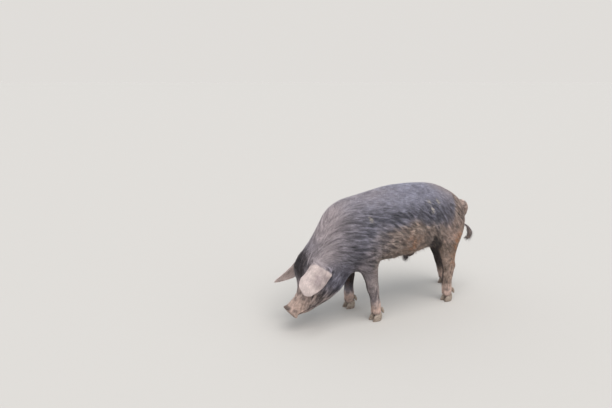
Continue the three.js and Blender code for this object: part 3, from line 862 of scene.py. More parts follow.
# ------------------------------------------------------------------ markings
# The coat's colour zones on a flank, as heights over the floor at places along the body: dust and
# mud lie below the first line, and a dark band lies between it and the second.
DUST_LINE = [
    (-0.62, 0.10), (-0.42, 0.36), (-0.33, 0.46), (-0.26, 0.58), (-0.16, 0.606), (-0.03, 0.600),
    (0.03, 0.632), (0.11, 0.600), (0.24, 0.574), (0.352, 0.555), (0.368, 0.60), (0.41, 0.72), (0.46, 0.80),
]
BAND_LINE = [
    (-0.55, 0.66), (-0.42, 0.70), (-0.26, 0.70), (-0.08, 0.685), (0.10, 0.695), (0.37, 0.69), (0.45, 0.74),
]
STRAW = [(-0.275, 0.655), (0.171, 0.711), (0.243, 0.707), (0.185, 0.661)]  # pale bits on the left flank
MOUTH_LINES = [np.array([face_point(*place, sign) for place in MOUTH]) for sign in (-1, 1)]
LID_LINES = [lid_line(*EYES[name], upper) for name in EYES for upper in (True, False)]
FOLD_LINES = [
    np.array([flank_point(x, z, sign) for x, z in path])
    for path in (ARM_FOLD[:4], [(0.20, 0.53), *FLANK_FOLD])
    for sign in (-1, 1)
]


def line_height(line, x):
    """Height of a line of places, at places along the body."""
    return np.interp(x, *np.transpose(line))


def along_path(at, path, width):
    """1 on a line through points, fading to 0 at a few widths from it."""
    return np.exp(-((distance_to_path(at, path)[0] / width) ** 2))


def side_patch(at, x, z, long, high):
    """A bell curve round a place seen from the side, on both sides of the body."""
    return near(at[:, [0, 2]], (x, z), (long, high))


def shagginess(at):
    """Where the coat is clotted with mud and stands up in untidy locks: the flank, belly and hams."""
    x, z = at[:, 0], at[:, 2]
    flank = side_patch(at, 0.07, 0.52, 0.13, 0.085) * (aside(at) > 0.06)
    belly = 0.7 * smoothstep(0.43, 0.38, z) * window(x, -0.16, -0.05, 0.28, 0.34)
    ham = 0.6 * side_patch(at, 0.46, 0.50, 0.05, 0.10)
    return np.clip(flank + belly + ham, 0, 1) * smoothstep(0.28, 0.32, z)


def shading(at, facing, shares, low_body):
    """Painted shade: how dark each point is for lying in a fold, in a hole, round an eye or under the body.
    The dark lid margins and the mud on the snout disc's upper rim, their own colours, go in with it.
    """
    off_ear = 1 - np.maximum(shares["ear_left"], shares["ear_right"])
    nose_place = at - middle("nose")
    nose_side, nose_up = nose_place @ HEAD_SIDE, nose_place @ NOSE_UP
    dark = [0.46 * low_body, 0.30 * smoothstep(0.026, 0.012, eye_distance(at)) * off_ear]
    # painted shadow along the line of the mouth
    dark += [along_path(at, path, 0.0044) * shares["head"] for path in MOUTH_LINES]
    dark += [0.45 * along_path(at, path, 0.010) for path in FOLD_LINES]
    # the lids' own dark margins
    dark += [0.8 * along_path(at, path, 0.0016) * off_ear for path in LID_LINES]
    dark.append(0.5 * near(at, (0.575, MID_Y, 0.545), (0.02, 0.03, 0.05)))  # vent
    dark.append(0.7 * near(at, (0.145, MID_Y, 0.31), (0.03, 0.04, 0.03)))  # opening of the sheath
    for sign in (-1, 1):
        hole = np.hypot((nose_side - sign * NOSTRIL_SIDE) / 0.009, (nose_up + NOSTRIL_LOW) / 0.011)
        dark.append(0.92 * smoothstep(1.15, 0.8, hole) * in_node(at, "nose", 0.004))
    # painted shade on the snout disc's down-facing front, with some dirt
    dark.append(0.35 * smoothstep(0.55, 0.85, facing @ NOSE_AXIS) * in_node(at, "nose", 0.006))
    # mud on the snout disc's upper rim
    dark.append(0.78 * smoothstep(0.50, 0.88, nose_up / NOSE_HALF) * in_node(at, "nose", 0.010))
    return np.clip(np.max(dark, axis=0), 0, 1)


def inner_side_shade(at, facing, shares, inner):
    """Painted shade on the inner sides of the legs and the front of the far hind leg, in the groins above
    them and under the belly before the thighs.
    """
    x, z = at[:, 0], at[:, 2]
    right = at[:, 1] > MID_Y
    hind = window(z, 0.09, 0.18, 0.40, 0.46) * window(x, 0.12, 0.24, 0.585, 0.62)
    fore = window(z, 0.09, 0.20, 0.36, 0.44) * smoothstep(-0.06, -0.14, x) * (x > -0.36)
    dark = hind * np.maximum(smoothstep(-0.1, 0.4, inner), right * smoothstep(-0.1, 0.5, -facing[:, 0]))
    dark = dark + fore * smoothstep(-0.25, 0.25, inner) * (1 - shares["head"])
    groin = 1.3 * side_patch(at, 0.244, 0.446, 0.033, 0.052) * (aside(at) > 0.03)
    under = window(x, 0.20, 0.25, 0.305, 0.345) * window(z, 0.36, 0.38, 0.44, 0.48)
    return dark + np.maximum(groin, under * smoothstep(-0.30, -0.60, facing[:, 2]))


def markings(at, facing, shares):
    """How strongly each colour shows at each point, from 0 to 1."""
    x, z = at[:, 0], at[:, 2]
    right = at[:, 1] > MID_Y
    inner = -facing[:, 1] * np.where(right, 1, -1)
    rough = 0.7 * noise(at, 0.045, 11) + 0.5 * noise(at, 0.016, 12)
    fine = noise(at, 0.012, 13)
    leg, head = shares["leg"], shares["head"]
    forward, _, up = head_coordinates(at).T

    ear_share = np.zeros(len(at))
    for name, (root, tip) in EARS.items():
        along = (at - root) @ unit(tip - root) / np.linalg.norm(tip - root)
        ear_share = np.maximum(ear_share, shares[name] * smoothstep(-0.05, 0.22, along))
    base_line = 0.420 - 0.79 * (x + 0.600)  # dark fur covers the left ear's base above this line
    ear = ear_share * np.where(right, 1, smoothstep(0.012, -0.004, z - base_line))
    # The ears' inner faces are painted paler, as painted light on faces turned from the light.
    inner_ear = smoothstep(0.1, 0.6, inner) * np.clip(ear_share * 2, 0, 1)

    # Zones of the trunk: dust below, a dark band over it, and a pale crest along the neck and back.
    front = smoothstep(-0.09, -0.31, x)
    below = line_height(DUST_LINE, x) - z + 0.022 * rough
    dust = smoothstep(-0.018 - 0.06 * front, 0.030 + 0.07 * front, below)
    dust = dust * (1 - 0.65 * front) * smoothstep(-0.46, -0.34, x) * (1 - head) * (1 - 0.5 * leg * front)
    dust = dust + 0.7 * head * smoothstep(-0.02, 0.10, forward)
    band = smoothstep(0.045, -0.03, z - line_height(BAND_LINE, x) + 0.018 * rough)
    band = band * (1 - dust) * smoothstep(0.40, 0.35, x)
    band = band * (1 - 0.12 * smoothstep(0.0, -0.35, x)) * (1 - 0.7 * leg)
    throat = smoothstep(0.54, 0.42, z) * window(x, -0.64, -0.52, -0.28, -0.18) * (1 - leg)
    jaw = head * smoothstep(-0.04, -0.11, up) * smoothstep(0.20, 0.05, forward)
    crest = 1.2 * near(at, (-0.48, MID_Y, 0.60), (0.15, 0.14, 0.20))
    crest += (
        0.6 * near(at, (-0.20, MID_Y, 0.76), (0.20, 0.14, 0.08))
        + 0.5 * near(at, (-0.54, -0.10, 0.45), 0.07))
    crest += 1.3 * near(at, (0.40, MID_Y, 0.76), (0.12, 0.16, 0.09))
    forehead = head * smoothstep(-0.07, -0.01, up) * 0.55

    # Mud on the belly, a rusty scruff on the flank, and the hams and legs.
    low_body = smoothstep(0.47, 0.38, z) * (1 - leg) * (1 - head) * smoothstep(-0.30, -0.15, x)
    scruff = side_patch(at, 0.045, 0.505, 0.060, 0.075) + 0.8 * side_patch(at, 0.08, 0.42, 0.06, 0.05)
    scruff = np.clip(scruff, 0, 1) * (aside(at) > 0.08) * smoothstep(-0.9, 0.2, rough + fine)
    ham = side_patch(at, 0.440, 0.455, 0.055, 0.070) + side_patch(at, 0.425, 0.345, 0.05, 0.085)
    ham = np.clip(ham, 0, 1) * smoothstep(-0.7, 0.1, facing[:, 0])
    rust = np.clip(ham + 1.4 * scruff * smoothstep(0.55, 0.48, z), 0, 1)
    hind_leg = leg * smoothstep(0.1, 0.2, x) * window(z, 0.06, 0.14, 0.30, 0.42)
    fore_leg = leg * smoothstep(0.0, -0.1, x) * smoothstep(0.10, 0.18, z) * (1 - right)
    fore_shin = leg * smoothstep(0.0, -0.1, x) * smoothstep(0.16, 0.10, z) * smoothstep(-0.5, 0.5, rough)
    thigh = side_patch(at, 0.39, 0.46, 0.090, 0.11)
    # The sheath's own dark brown, deepened with painted shade under the belly.
    sheath = near(at, (0.150, MID_Y, 0.315), (0.06, 0.06, 0.04))

    # Bare skin on the snout, the feet and round the tail.
    snout = smoothstep(0.050, 0.165, forward + 0.030 * rough) * head * smoothstep(-0.11, -0.03, up)
    snout = np.maximum(snout, in_node(at, "nose", 0.003))
    feet = smoothstep(0.15, 0.08, z + 0.02 * rough)
    tail_root = near(at, (0.63, MID_Y, 0.60), (0.05, 0.06, 0.05))
    tail_root = tail_root + near(at, (0.50, MID_Y, 0.68), (0.06, 0.12, 0.10))
    rump = smoothstep(0.25, 0.8, facing[:, 0]) * smoothstep(0.40, 0.47, x) * smoothstep(0.46, 0.58, z)
    tail_end = smoothstep(0.500, 0.440, z) * shares["tail"]

    straw = np.zeros(len(at))
    for place_x, place_z in STRAW:
        bit = np.clip(1.7 * side_patch(at, place_x, place_z, 0.0036, 0.012), 0, 1)
        straw = np.maximum(straw, bit * ~right)
    marks = {
        "dust": np.clip(dust + 0.6 * tail_root + 0.9 * straw, 0, 1) * (1 - 0.8 * tail_end),
        "band": band + 0.75 * throat + 0.8 * jaw + 0.25 * head + tail_end,
        "crest": (crest + forehead + fore_leg) * (1 - ear),
        "mud": 0.9 * low_body + scruff + 0.62 * hind_leg + 0.45 * ham + 0.15 * fore_shin + 0.30 * snout,
        "rust": rust * smoothstep(-0.35, 0.5, rough + 0.9 * fine),
        # painted shade on the inner sides of the legs and in the groins, plus the sheath's own dark brown
        # deepened by painted shade
        "black": inner_side_shade(at, facing, shares, inner) + 0.55 * sheath,
        "bare": snout + feet + 0.85 * tail_root + 0.8 * rump + 0.6 * hind_leg + 0.8 * thigh,
        "ear": ear,
        # painted light on the ears' inner faces
        "pale": inner_ear,
        "shade": shading(at, facing, shares, low_body),
        "straw": straw,
        "shag": shagginess(at),
    }
    return {name: np.clip(values, 0, 1) for name, values in marks.items()}


def write_attribute(mesh, name, values):
    """Stores a number or a vector for each of a mesh's points, for the materials."""
    plain = values.ndim == 1
    attribute = mesh.attributes.new(name, "FLOAT" if plain else "FLOAT_VECTOR", "POINT")
    attribute.data.foreach_set("value" if plain else "vector", values.astype(np.float32).ravel())


skin_shares = region_shares(points)
skin_marks = markings(points, normal, skin_shares)
MARKS = tuple(skin_marks)
for name in MARKS:
    write_attribute(skin.data, name, skin_marks[name])
write_attribute(skin.data, "hair_place", hair_place(points, skin_shares))


# ------------------------------------------------------------------ materials
def linear(red, green, blue):
    """A colour given as screen values from 0 to 255."""

    def one(value):
        value = value / 255
        return value / 12.92 if value <= 0.04045 else ((value + 0.055) / 1.055) ** 2.4
    return (one(red), one(green), one(blue), 1)


class Tree:
    """A material's nodes, made and joined by short calls."""

    def __init__(self, name):
        self.material = bpy.data.materials.new(name)
        self.material.use_nodes = True
        self.nodes = self.material.node_tree.nodes
        self.links = self.material.node_tree.links
        self.shader = self.nodes["Principled BSDF"]

    def put(self, socket, value):
        if isinstance(value, bpy.types.NodeSocket):
            self.links.new(value, socket)
        else:
            socket.default_value = value

    def node(self, kind, inputs, output=0, **settings):
        """An output of a new node with some settings and inputs."""
        made = self.nodes.new("ShaderNode" + kind)
        for name, value in settings.items():
            setattr(made, name, value)
        for name, value in inputs.items():
            self.put(made.inputs[name], value)
        return made.outputs[output]

    def attribute(self, name):
        return self.node("Attribute", {}, "Vector" if name == "hair_place" else "Fac", attribute_name=name)

    def place(self):
        return self.node("TexCoord", {}, "Object")

    def stretched(self, vector, scale):
        return self.node("VectorMath", {0: vector, 1: scale}, operation="MULTIPLY")

    def noise(self, vector, scale, detail=3, roughness=0.55, distortion=0.0):
        inputs = {"Vector": vector, "Scale": scale, "Detail": detail}
        return self.node("TexNoise", inputs | {"Roughness": roughness, "Distortion": distortion}, "Fac")

    def cells(self, vector, scale, feature="F1"):
        return self.node("TexVoronoi", {"Vector": vector, "Scale": scale}, "Distance", feature=feature)

    def math(self, operation, a, b=0.0, c=0.0):
        return self.node("Math", {0: a, 1: b, 2: c}, operation=operation)

    def span(self, value, low, high, to_low=0.0, to_high=1.0):
        """value's step from low to high, as a step between two other numbers."""
        inputs = {"Value": value, "From Min": low, "From Max": high, "To Min": to_low, "To Max": to_high}
        return self.node("MapRange", inputs, "Result", interpolation_type="SMOOTHSTEP")

    def mix(self, share, a, b, blend="MIX"):
        return self.node("Mix", {0: share, 6: a, 7: b}, 2, data_type="RGBA", blend_type=blend)

    def times(self, colour, value):
        """A colour made brighter or darker."""
        return self.mix(1.0, colour, self.node("CombineColor", {0: value, 1: value, 2: value}), "MULTIPLY")

    def bump(self, height, distance, strength=1.0, under=None):
        inputs = {"Strength": strength, "Distance": distance, "Height": height}
        return self.node("Bump", inputs if under is None else inputs | {"Normal": under}, "Normal")


SCREEN_COLOURS = {
    "slate": (156, 154, 170),
    "slate_dark": (130, 128, 141),
    "band": (56, 55, 66),
    "band_light": (128, 125, 139),
    "crest": (170, 158, 160),
    "crest_dark": (132, 122, 125),
    "dust": (169, 150, 140),
    "dust_dark": (76, 62, 57),
    "mud": (86, 71, 62),
    "mud_mid": (160, 137, 122),
    "mud_pale": (210, 190, 174),
    "rust": (208, 150, 110),
    "rust_dark": (118, 76, 50),
    # these two colours also paint the shade on the inner sides of the legs and in the groins
    "black": (40, 30, 28),
    "brown_black": (78, 55, 46),
    "bare": (200, 173, 161),
    "bare_dark": (150, 131, 124),
    "ear": (193, 177, 172),
    "ear_dark": (150, 135, 134),
    # painted light: the paler colour of the ears' inner faces
    "ear_inside": (214, 196, 191),
    "straw": (222, 212, 190),
}
COLOURS = {name: linear(*colour) for name, colour in SCREEN_COLOURS.items()}


def hide_colour(t):
    """The animal's colours, the same for the skin and the coat."""
    place = t.place()
    hair = t.attribute("hair_place")

    def hairs(stretch, detail, roughness, distortion=0.0):
        return t.noise(t.stretched(hair, stretch), 1.0, detail, roughness, distortion)

    def two_tones(pattern, low, high, dark, light):
        return t.mix(t.span(pattern, low, high), COLOURS[dark], COLOURS[light])

    streak = hairs((16, 120, 10), 4, 0.66, 0.25)
    wave = hairs((13, 62, 10), 4, 0.6, 0.3)
    clump = hairs((38, 100, 24), 5, 0.72, 0.1)
    blotch = t.noise(place, 26, 4, 0.6)
    grain = t.noise(place, 120, 4, 0.65)
    clod = t.math("MULTIPLY_ADD", t.math("SUBTRACT", t.noise(place, 52, 5, 0.72), clump), 0.5, clump)
    broad = t.noise(place, 9, 3, 0.55)
    colour = two_tones(blotch, 0.35, 0.65, "slate_dark", "slate")
    for mark, tones in (
        ("band", two_tones(wave, 0.40, 0.66, "band", "band_light")),
        ("crest", two_tones(wave, 0.36, 0.60, "crest_dark", "crest")),
        ("dust", two_tones(wave, 0.42, 0.58, "dust_dark", "dust")),
        ("bare", two_tones(blotch, 0.36, 0.58, "bare_dark", "bare")),
    ):
        colour = t.mix(t.attribute(mark), colour, tones)
    mud = t.mix(t.span(clod, 0.52, 0.63), two_tones(clod, 0.40, 0.51, "mud", "mud_mid"), COLOURS["mud_pale"])
    colour = t.mix(t.math("MULTIPLY", t.attribute("mud"), t.span(broad, 0.30, 0.52, 0.6, 1)), colour, mud)
    rusty = t.math("MULTIPLY", t.attribute("rust"), t.span(clump, 0.36, 0.56, 0.25, 1))
    colour = t.mix(rusty, colour, two_tones(grain, 0.36, 0.58, "rust_dark", "rust"))
    ear = two_tones(broad, 0.34, 0.62, "ear_dark", "ear")
    for mark, tones in (
        ("ear", t.mix(t.span(grain, 0.58, 0.78, 0, 0.30), ear, COLOURS["ear_dark"])),
        # painted light on the ears' inner faces
        ("pale", COLOURS["ear_inside"]),
        # dark hair, and painted shade on the inner sides of the legs, in the groins and by the sheath
        ("black", two_tones(clump, 0.50, 0.68, "black", "brown_black")),
        ("straw", COLOURS["straw"]),
    ):
        colour = t.mix(t.attribute(mark), colour, tones)

    # Streaks of lighter and darker hair, and the painted shade in folds, holes and under the body, which also
    # carries the lid margins and the snout rim's mud.
    strength = t.math("SUBTRACT", 1.0, t.math("MULTIPLY", t.attribute("ear"), 0.75))
    strength = t.math("MULTIPLY", strength, t.span(t.attribute("bare"), 0.3, 1.0, 1.0, 0.45))
    patterned = t.math("MAXIMUM", t.attribute("dust"), t.attribute("band"))
    strength = t.math("MULTIPLY", strength, t.span(patterned, 0.0, 0.8, 0.5, 1.2))
    strength = t.math("MULTIPLY", strength, t.span(t.attribute("crest"), 0.2, 1.0, 1.0, 0.5))
    patches = hairs((30, 52, 10), 3, 0.6)
    streaks = t.math("ADD", t.span(streak, 0.30, 0.70, -0.48, 0.42), t.span(patches, 0.34, 0.66, -0.34, 0.34))
    streaks = t.math("MULTIPLY_ADD", streaks, strength, 1.0)
    colour = t.times(colour, streaks)
    return t.times(colour, t.span(t.attribute("shade"), 0, 1, 1.0, 0.22))


def skin_material():
    t = Tree("pig_skin")
    t.put(t.shader.inputs["Base Color"], hide_colour(t))
    place = t.place()
    hairs = t.noise(t.stretched(t.attribute("hair_place"), (30, 900, 10)), 1.0, 2, 0.6)
    wrinkles = t.noise(place, 300, 4, 0.7)
    creases = t.cells(place, 420, "DISTANCE_TO_EDGE")
    clods = t.math("MULTIPLY", t.span(t.noise(place, 120, 4, 0.65), 0.45, 0.7), t.attribute("mud"))
    normal_out = t.bump(t.span(creases, 0.0, 0.25), 0.0004, 0.3)
    normal_out = t.bump(wrinkles, 0.0012, 0.45, normal_out)
    normal_out = t.bump(hairs, 0.0012, 0.5, normal_out)
    normal_out = t.bump(clods, 0.003, 0.8, normal_out)
    t.put(t.shader.inputs["Normal"], normal_out)
    t.put(t.shader.inputs["Roughness"], t.span(t.noise(place, 60, 3), 0.3, 0.7, 0.52, 0.78))
    t.shader.inputs["Specular IOR Level"].default_value = 0.35
    return t.material


def coat_material():
    t = Tree("pig_coat")
    colour = hide_colour(t)
    tuft = t.attribute("tuft")
    along = t.attribute("along")
    spread_out = t.math("MULTIPLY_ADD", t.attribute("shag"), 1.15, 0.5)
    shade = t.math("MULTIPLY_ADD", t.math("SUBTRACT", tuft, 0.48), spread_out, 1.24)
    shade = t.math("ADD", shade, t.span(along, 0.0, 1.0, -0.14, 0.16))
    shade = t.math("MULTIPLY_ADD", t.attribute("ear"), 0.15, shade)
    t.put(t.shader.inputs["Base Color"], t.times(colour, shade))
    t.put(t.shader.inputs["Roughness"], t.span(tuft, 0.0, 1.0, 0.42, 0.62))
    t.shader.inputs["Specular IOR Level"].default_value = 0.4
    t.shader.inputs["Sheen Weight"].default_value = 0.15
    t.shader.inputs["Sheen Roughness"].default_value = 0.5
    return t.material


def horn_material():
    t = Tree("hoof_horn")
    place = t.place()
    rings = t.noise(t.stretched(place, (24, 24, 260)), 1.0, 3, 0.6, 0.5)
    stain = t.noise(place, 90, 4, 0.6)
    colour = t.mix(t.span(rings, 0.25, 0.75), linear(150, 134, 120), linear(184, 169, 154))
    height = t.node("SeparateXYZ", {0: place}, "Z")
    by_floor = t.span(height, 0.002, 0.030, 0.35, 0.05)
    dirty = t.math("ADD", by_floor, t.span(stain, 0.35, 0.80, 0, 0.75))
    colour = t.mix(t.math("MINIMUM", dirty, 1.0), colour, linear(108, 92, 82))
    t.put(t.shader.inputs["Base Color"], colour)
    ringed = t.bump(rings, 0.0008, 0.7)
    t.put(t.shader.inputs["Normal"], t.bump(t.noise(place, 400, 3), 0.0005, 0.5, ringed))
    t.put(t.shader.inputs["Roughness"], t.span(stain, 0.3, 0.7, 0.45, 0.75))
    return t.material


def eye_material():
    t = Tree("eye_wet")
    ring = t.attribute("ring")
    spokes = t.noise(t.place(), 900, 3, 0.6)
    iris = t.mix(t.span(spokes, 0.35, 0.65), linear(48, 30, 18), linear(86, 56, 34))
    colour = t.mix(t.span(ring, 0.27, 0.31), linear(6, 5, 6), iris)
    colour = t.mix(t.span(ring, 0.60, 0.68), colour, linear(30, 20, 16))
    colour = t.mix(t.span(ring, 0.70, 0.82), colour, linear(140, 112, 104))
    t.put(t.shader.inputs["Base Color"], colour)
    t.shader.inputs["Roughness"].default_value = 0.05
    t.shader.inputs["Specular IOR Level"].default_value = 0.16
    return t.material


SKIN = skin_material()
COAT = coat_material()
HORN = horn_material()
EYE = eye_material()
skin.data.materials.clear()
skin.data.materials.append(SKIN)


# ------------------------------------------------------------------ hooves
def make_hoof(name):
    """A CAD claw made smooth, with its sole still flat on the floor."""
    claw = remeshed(joined("hoof_" + name, [name]), HOOF_STEP)
    at = positions(claw.data)
    low = at[:, 2].min()
    at = relax(at, edges_of(claw.data), np.full(len(at), 0.5), HOOF_PASSES)
    heights = at[:, 2] - low
    centre = at.mean(0)
    rings = 0.00022 * np.sin(heights * 700 + 5 * noise(at, 0.02, 5))
    at += normals(claw.data) * rings[:, None] * smoothstep(0.004, 0.012, heights)[:, None]
    at[:, :2] += (at[:, :2] - centre[:2]) * 0.02
    if low < 0.002:  # it stands on the floor
        at[:, 2] = np.where(heights < 0.0022, 0, at[:, 2])
    set_positions(claw.data, at)
    thin_out(claw, HOOF_TRIANGLES)
    shade_smooth(claw.data)
    claw.data.materials.clear()
    claw.data.materials.append(HORN)
    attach(claw, "root")
    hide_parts(name)


for name in CLAWS:
    make_hoof(name)


# ------------------------------------------------------------------ eyes
def make_eye(name, centre, axes):
    """An eyeball with a raised front; "ring" tells how far each point is from the axis."""
    outward = axes[0]
    bm = bmesh.new()
    bmesh.ops.create_uvsphere(bm, u_segments=48, v_segments=32, radius=EYE_RADIUS)
    mesh = bpy.data.meshes.new(name)
    bm.to_mesh(mesh)
    bm.free()
    at = positions(mesh)
    cosine = at @ outward / EYE_RADIUS
    from_axis = np.arccos(np.clip(cosine, -1, 1)) / (math.pi / 2)
    at += outward * (0.0011 * smoothstep(0.55, 0.0, from_axis))[:, None]
    set_positions(mesh, at + centre)
    write_attribute(mesh, "ring", from_axis * 1.25)
    shade_smooth(mesh)
    mesh.materials.append(EYE)
    ball = new_object("ball_" + name, mesh)
    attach(ball, "root")
    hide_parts(name)


for name in EYES:
    make_eye(name, *EYES[name])

# ------------------------------------------------------------------ coat
rng = np.random.default_rng(7)
COAT_SHARE = 1.0 if FINE else 0.3  # of the tufts that the coat has
HAIR_SHARE = 1.0 if FINE else 0.6  # of the longer hairs
TUFT_POINTS, TUFT_TRIANGLES = 7, 10
MOST_TRIANGLES = 195000  # in one piece of coat
# The places of a tuft's points on the unwrap, round its own place.
TUFT_PATCH = 0.0015 * np.array([(1, -1), (0, -0.8), (-1, -1), (0.7, 0), (0, 0.1), (-0.7, 0), (0, 1)])

skin.data.calc_loop_triangles()
skin_faces = read(skin.data.loop_triangles, "vertices", 3, np.int32)
corner_a, corner_b, corner_c = (points[skin_faces[:, k]] for k in range(3))
face_cross = np.cross(corner_b - corner_a, corner_c - corner_a)
face_area = lengths(face_cross) / 2
face_normal = units(face_cross)
face_middle = (corner_a + corner_b + corner_c) / 3


def scatter(weight, count):
    """Random points on the skin, with their normals. weight is a density for each face."""
    total = np.cumsum(face_area * weight)
    picks = (np.arange(count) + rng.random(count)) / count * total[-1]
    face = np.minimum(np.searchsorted(total, picks), len(total) - 1)
    u, v = np.sqrt(rng.random(count)), rng.random(count)
    shares = np.c_[1 - u, u * (1 - v), u * v]
    at = sum(shares[:, k, None] * points[skin_faces[face, k]] for k in range(3))
    facing = sum(shares[:, k, None] * normal[skin_faces[face, k]] for k in range(3))
    return at, units(facing)


def on_skin(at):
    """The nearest skin points and the skin's normals there."""
    found = [tree.find_nearest(Vector(p)) for p in at]
    return np.array([f[0] for f in found]), np.array([f[1] for f in found])


def turned(way, facing, angle):
    """Directions turned about the normals by an angle each."""
    return way * np.cos(angle)[:, None] + np.cross(facing, way) * np.sin(angle)[:, None]


def lying(roots, facing, way, length, lift):
    """Lines of root, middle and tip that follow the skin, and the outward way at root and middle."""
    half = length[:, None] / 2
    mid, mid_facing = on_skin(roots + way * half + facing * 0.002)
    mid_way = flattened(way, mid_facing)
    tip, tip_facing = on_skin(mid + mid_way * half + mid_facing * 0.002)
    mid = mid + mid_facing * (0.55 * lift)[:, None]
    tip = tip + tip_facing * lift[:, None]
    return np.stack([roots - facing * 0.0006, mid, tip], axis=1), np.stack([facing, mid_facing], axis=1)


def hanging(roots, facing, way, length, droop):
    """Lines that leave the skin one way and bend down by a share of their length."""
    fall = np.outer(np.broadcast_to(droop, len(roots)), -Z)
    mid = roots + (way + 0.25 * fall) * (length / 2)[:, None]
    tip = roots + (way + fall) * length[:, None]
    return np.stack([roots - facing * 0.0008, mid, tip], axis=1), np.stack([facing, facing], axis=1)


def make_locks(name, lines, outs, width, uv, marks, hair_at):
    """One piece of coat: a closed, thin, tapering three-sided lock along each line."""
    count = len(lines)
    verts = np.empty((count, TUFT_POINTS, 3))
    for ring, size in enumerate((1.0, 0.72)):
        across = units(np.cross(lines[:, ring + 1] - lines[:, ring], outs[:, ring]))
        wide = (width * size / 2)[:, None]
        verts[:, 3 * ring] = lines[:, ring] + across * wide
        verts[:, 3 * ring + 1] = lines[:, ring] + outs[:, ring] * wide * 0.7
        verts[:, 3 * ring + 2] = lines[:, ring] - across * wide
    verts[:, 6] = lines[:, 2]
    pattern = [(2, 1, 0)]
    for k in range(3):
        after = (k + 1) % 3
        pattern += [(k, after, 3 + after), (k, 3 + after, 3 + k), (3 + k, 3 + after, 6)]
    pattern = np.array(pattern)[:, ::-1]
    faces = (pattern[None] + TUFT_POINTS * np.arange(count)[:, None, None]).reshape(-1, 3)
    mesh = bpy.data.meshes.new(name)
    mesh.vertices.add(count * TUFT_POINTS)
    mesh.vertices.foreach_set("co", verts.astype(np.float32).ravel())
    mesh.loops.add(len(faces) * 3)
    mesh.loops.foreach_set("vertex_index", faces.astype(np.int32).ravel())
    mesh.polygons.add(len(faces))
    mesh.polygons.foreach_set("loop_start", np.arange(0, 3 * len(faces), 3, dtype=np.int32))
    mesh.update(calc_edges=True)
    corner_uv = (uv[:, None] + TUFT_PATCH[None]).reshape(-1, 2)[faces.ravel()]
    layer = mesh.uv_layers.new(name="OFBake")
    layer.data.foreach_set("uv", corner_uv.astype(np.float32).ravel())
    for mark in MARKS:
        write_attribute(mesh, mark, np.repeat(marks[mark], TUFT_POINTS))
    write_attribute(mesh, "hair_place", np.repeat(hair_at, TUFT_POINTS, axis=0))
    write_attribute(mesh, "tuft", np.repeat(rng.random(count), TUFT_POINTS))
    write_attribute(mesh, "along", np.tile([0, 0, 0, 0.5, 0.5, 0.5, 1.0], count))
    shade_smooth(mesh)
    mesh.materials.append(COAT)
    piece = new_object(name, mesh)
    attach(piece, "root")


def unwrapped(at, centre, axis, zero, span):
    """A cylinder unwrap of points round an axis: round it, and along it within a span."""
    away = at - centre
    along = away @ axis
    side = np.cross(axis, zero)
    around = np.arctan2(away @ side, away @ zero) / (2 * math.pi) + 0.5
    return np.c_[around, np.clip((along - span[0]) / (span[1] - span[0]), 0, 1)]


def spread(uv):
    """Stretches a piece's places on the unwrap over the whole map, with a small margin."""
    low, high = uv.min(0), uv.max(0)
    return 0.01 + 0.98 * (uv - low) / np.maximum(high - low, 1e-6)


def coat_region(name, weight, per_square_metre, sizes, uv_of, wander=0.16):
    """Covers a region with tufts, as pieces of fewer than 200,000 triangles each.

    sizes gives each tuft's length, width and lift, from its position."""
    count = int((face_area * weight).sum() * per_square_metre * COAT_SHARE)
    at, facing = scatter(weight, count)
    shares = region_shares(at)
    marks = markings(at, facing, shares)
    shag = marks["shag"]
    angle = rng.normal(0, 1, count) * (wander + 0.26 * shag)
    angle += (0.18 + 0.55 * shag) * noise(at, 0.05, 21) + (0.10 + 0.45 * shag) * noise(at, 0.02, 22)
    way = turned(hair_direction(at, facing, shares), facing, angle)
    size = rng.uniform(0.7, 1.25, count)
    clumped = smoothstep(-0.2, 0.7, noise(at, 0.014, 23)) * shag
    length, width, lift = sizes(at)
    long = length * size * (1 + 0.35 * shag)
    high = lift * rng.uniform(0.6, 1.5, count) * (1 + 2.0 * clumped)
    wide = width * size * (1 + 0.35 * shag)
    hair_at = hair_place(at, shares)
    pieces = max(1, math.ceil(count * TUFT_TRIANGLES / MOST_TRIANGLES))
    order = np.argsort(at[:, 0], kind="stable")
    for number, part in enumerate(np.array_split(order, pieces)):
        title = f"coat_{name}" if pieces == 1 else f"coat_{name}_{number + 1}"
        lines, outs = lying(at[part], facing[part], way[part], long[part], high[part])
        uv = spread(uv_of(at[part], facing[part]))
        part_marks = {mark: values[part] for mark, values in marks.items()}
        make_locks(title, lines, outs, wide[part], uv, part_marks, hair_at[part])


# The regions that the coat's pieces cover, face by face.
face_shares = region_shares(face_middle)
face_ear = np.maximum(face_shares["ear_left"], face_shares["ear_right"])
face_local = head_coordinates(face_middle)
face_forward, face_side, face_up = face_local.T
face_nose = in_node(face_middle, "nose", 0.004)
face_snout = smoothstep(0.12, 0.17, face_forward) * face_shares["head"]
on_lid = np.min([distance_to_path(face_middle, line)[0] for line in LID_LINES], axis=0) < 0.0045
is_head = (face_shares["head"] > 0.5) & (face_ear < 0.5)
is_leg = (face_shares["leg"] > 0.5) & ~is_head
is_tail = (face_shares["tail"] > 0.5) & ~is_leg
is_trunk = ~is_head & ~is_leg & ~is_tail & (face_ear < 0.5)
left = face_middle[:, 1] < MID_Y


def trunk_uv(at, facing):
    """Unwrapped round the body's length."""
    return unwrapped(at, (0, MID_Y, 0.56), X, Z, (-0.65, 0.60))


def head_uv(at, facing):
    """Unwrapped round the line from the poll to the snout."""
    return unwrapped(at, head_point(0, 0, -0.08), HEAD_FORWARD, HEAD_UP, (-0.25, 0.25))


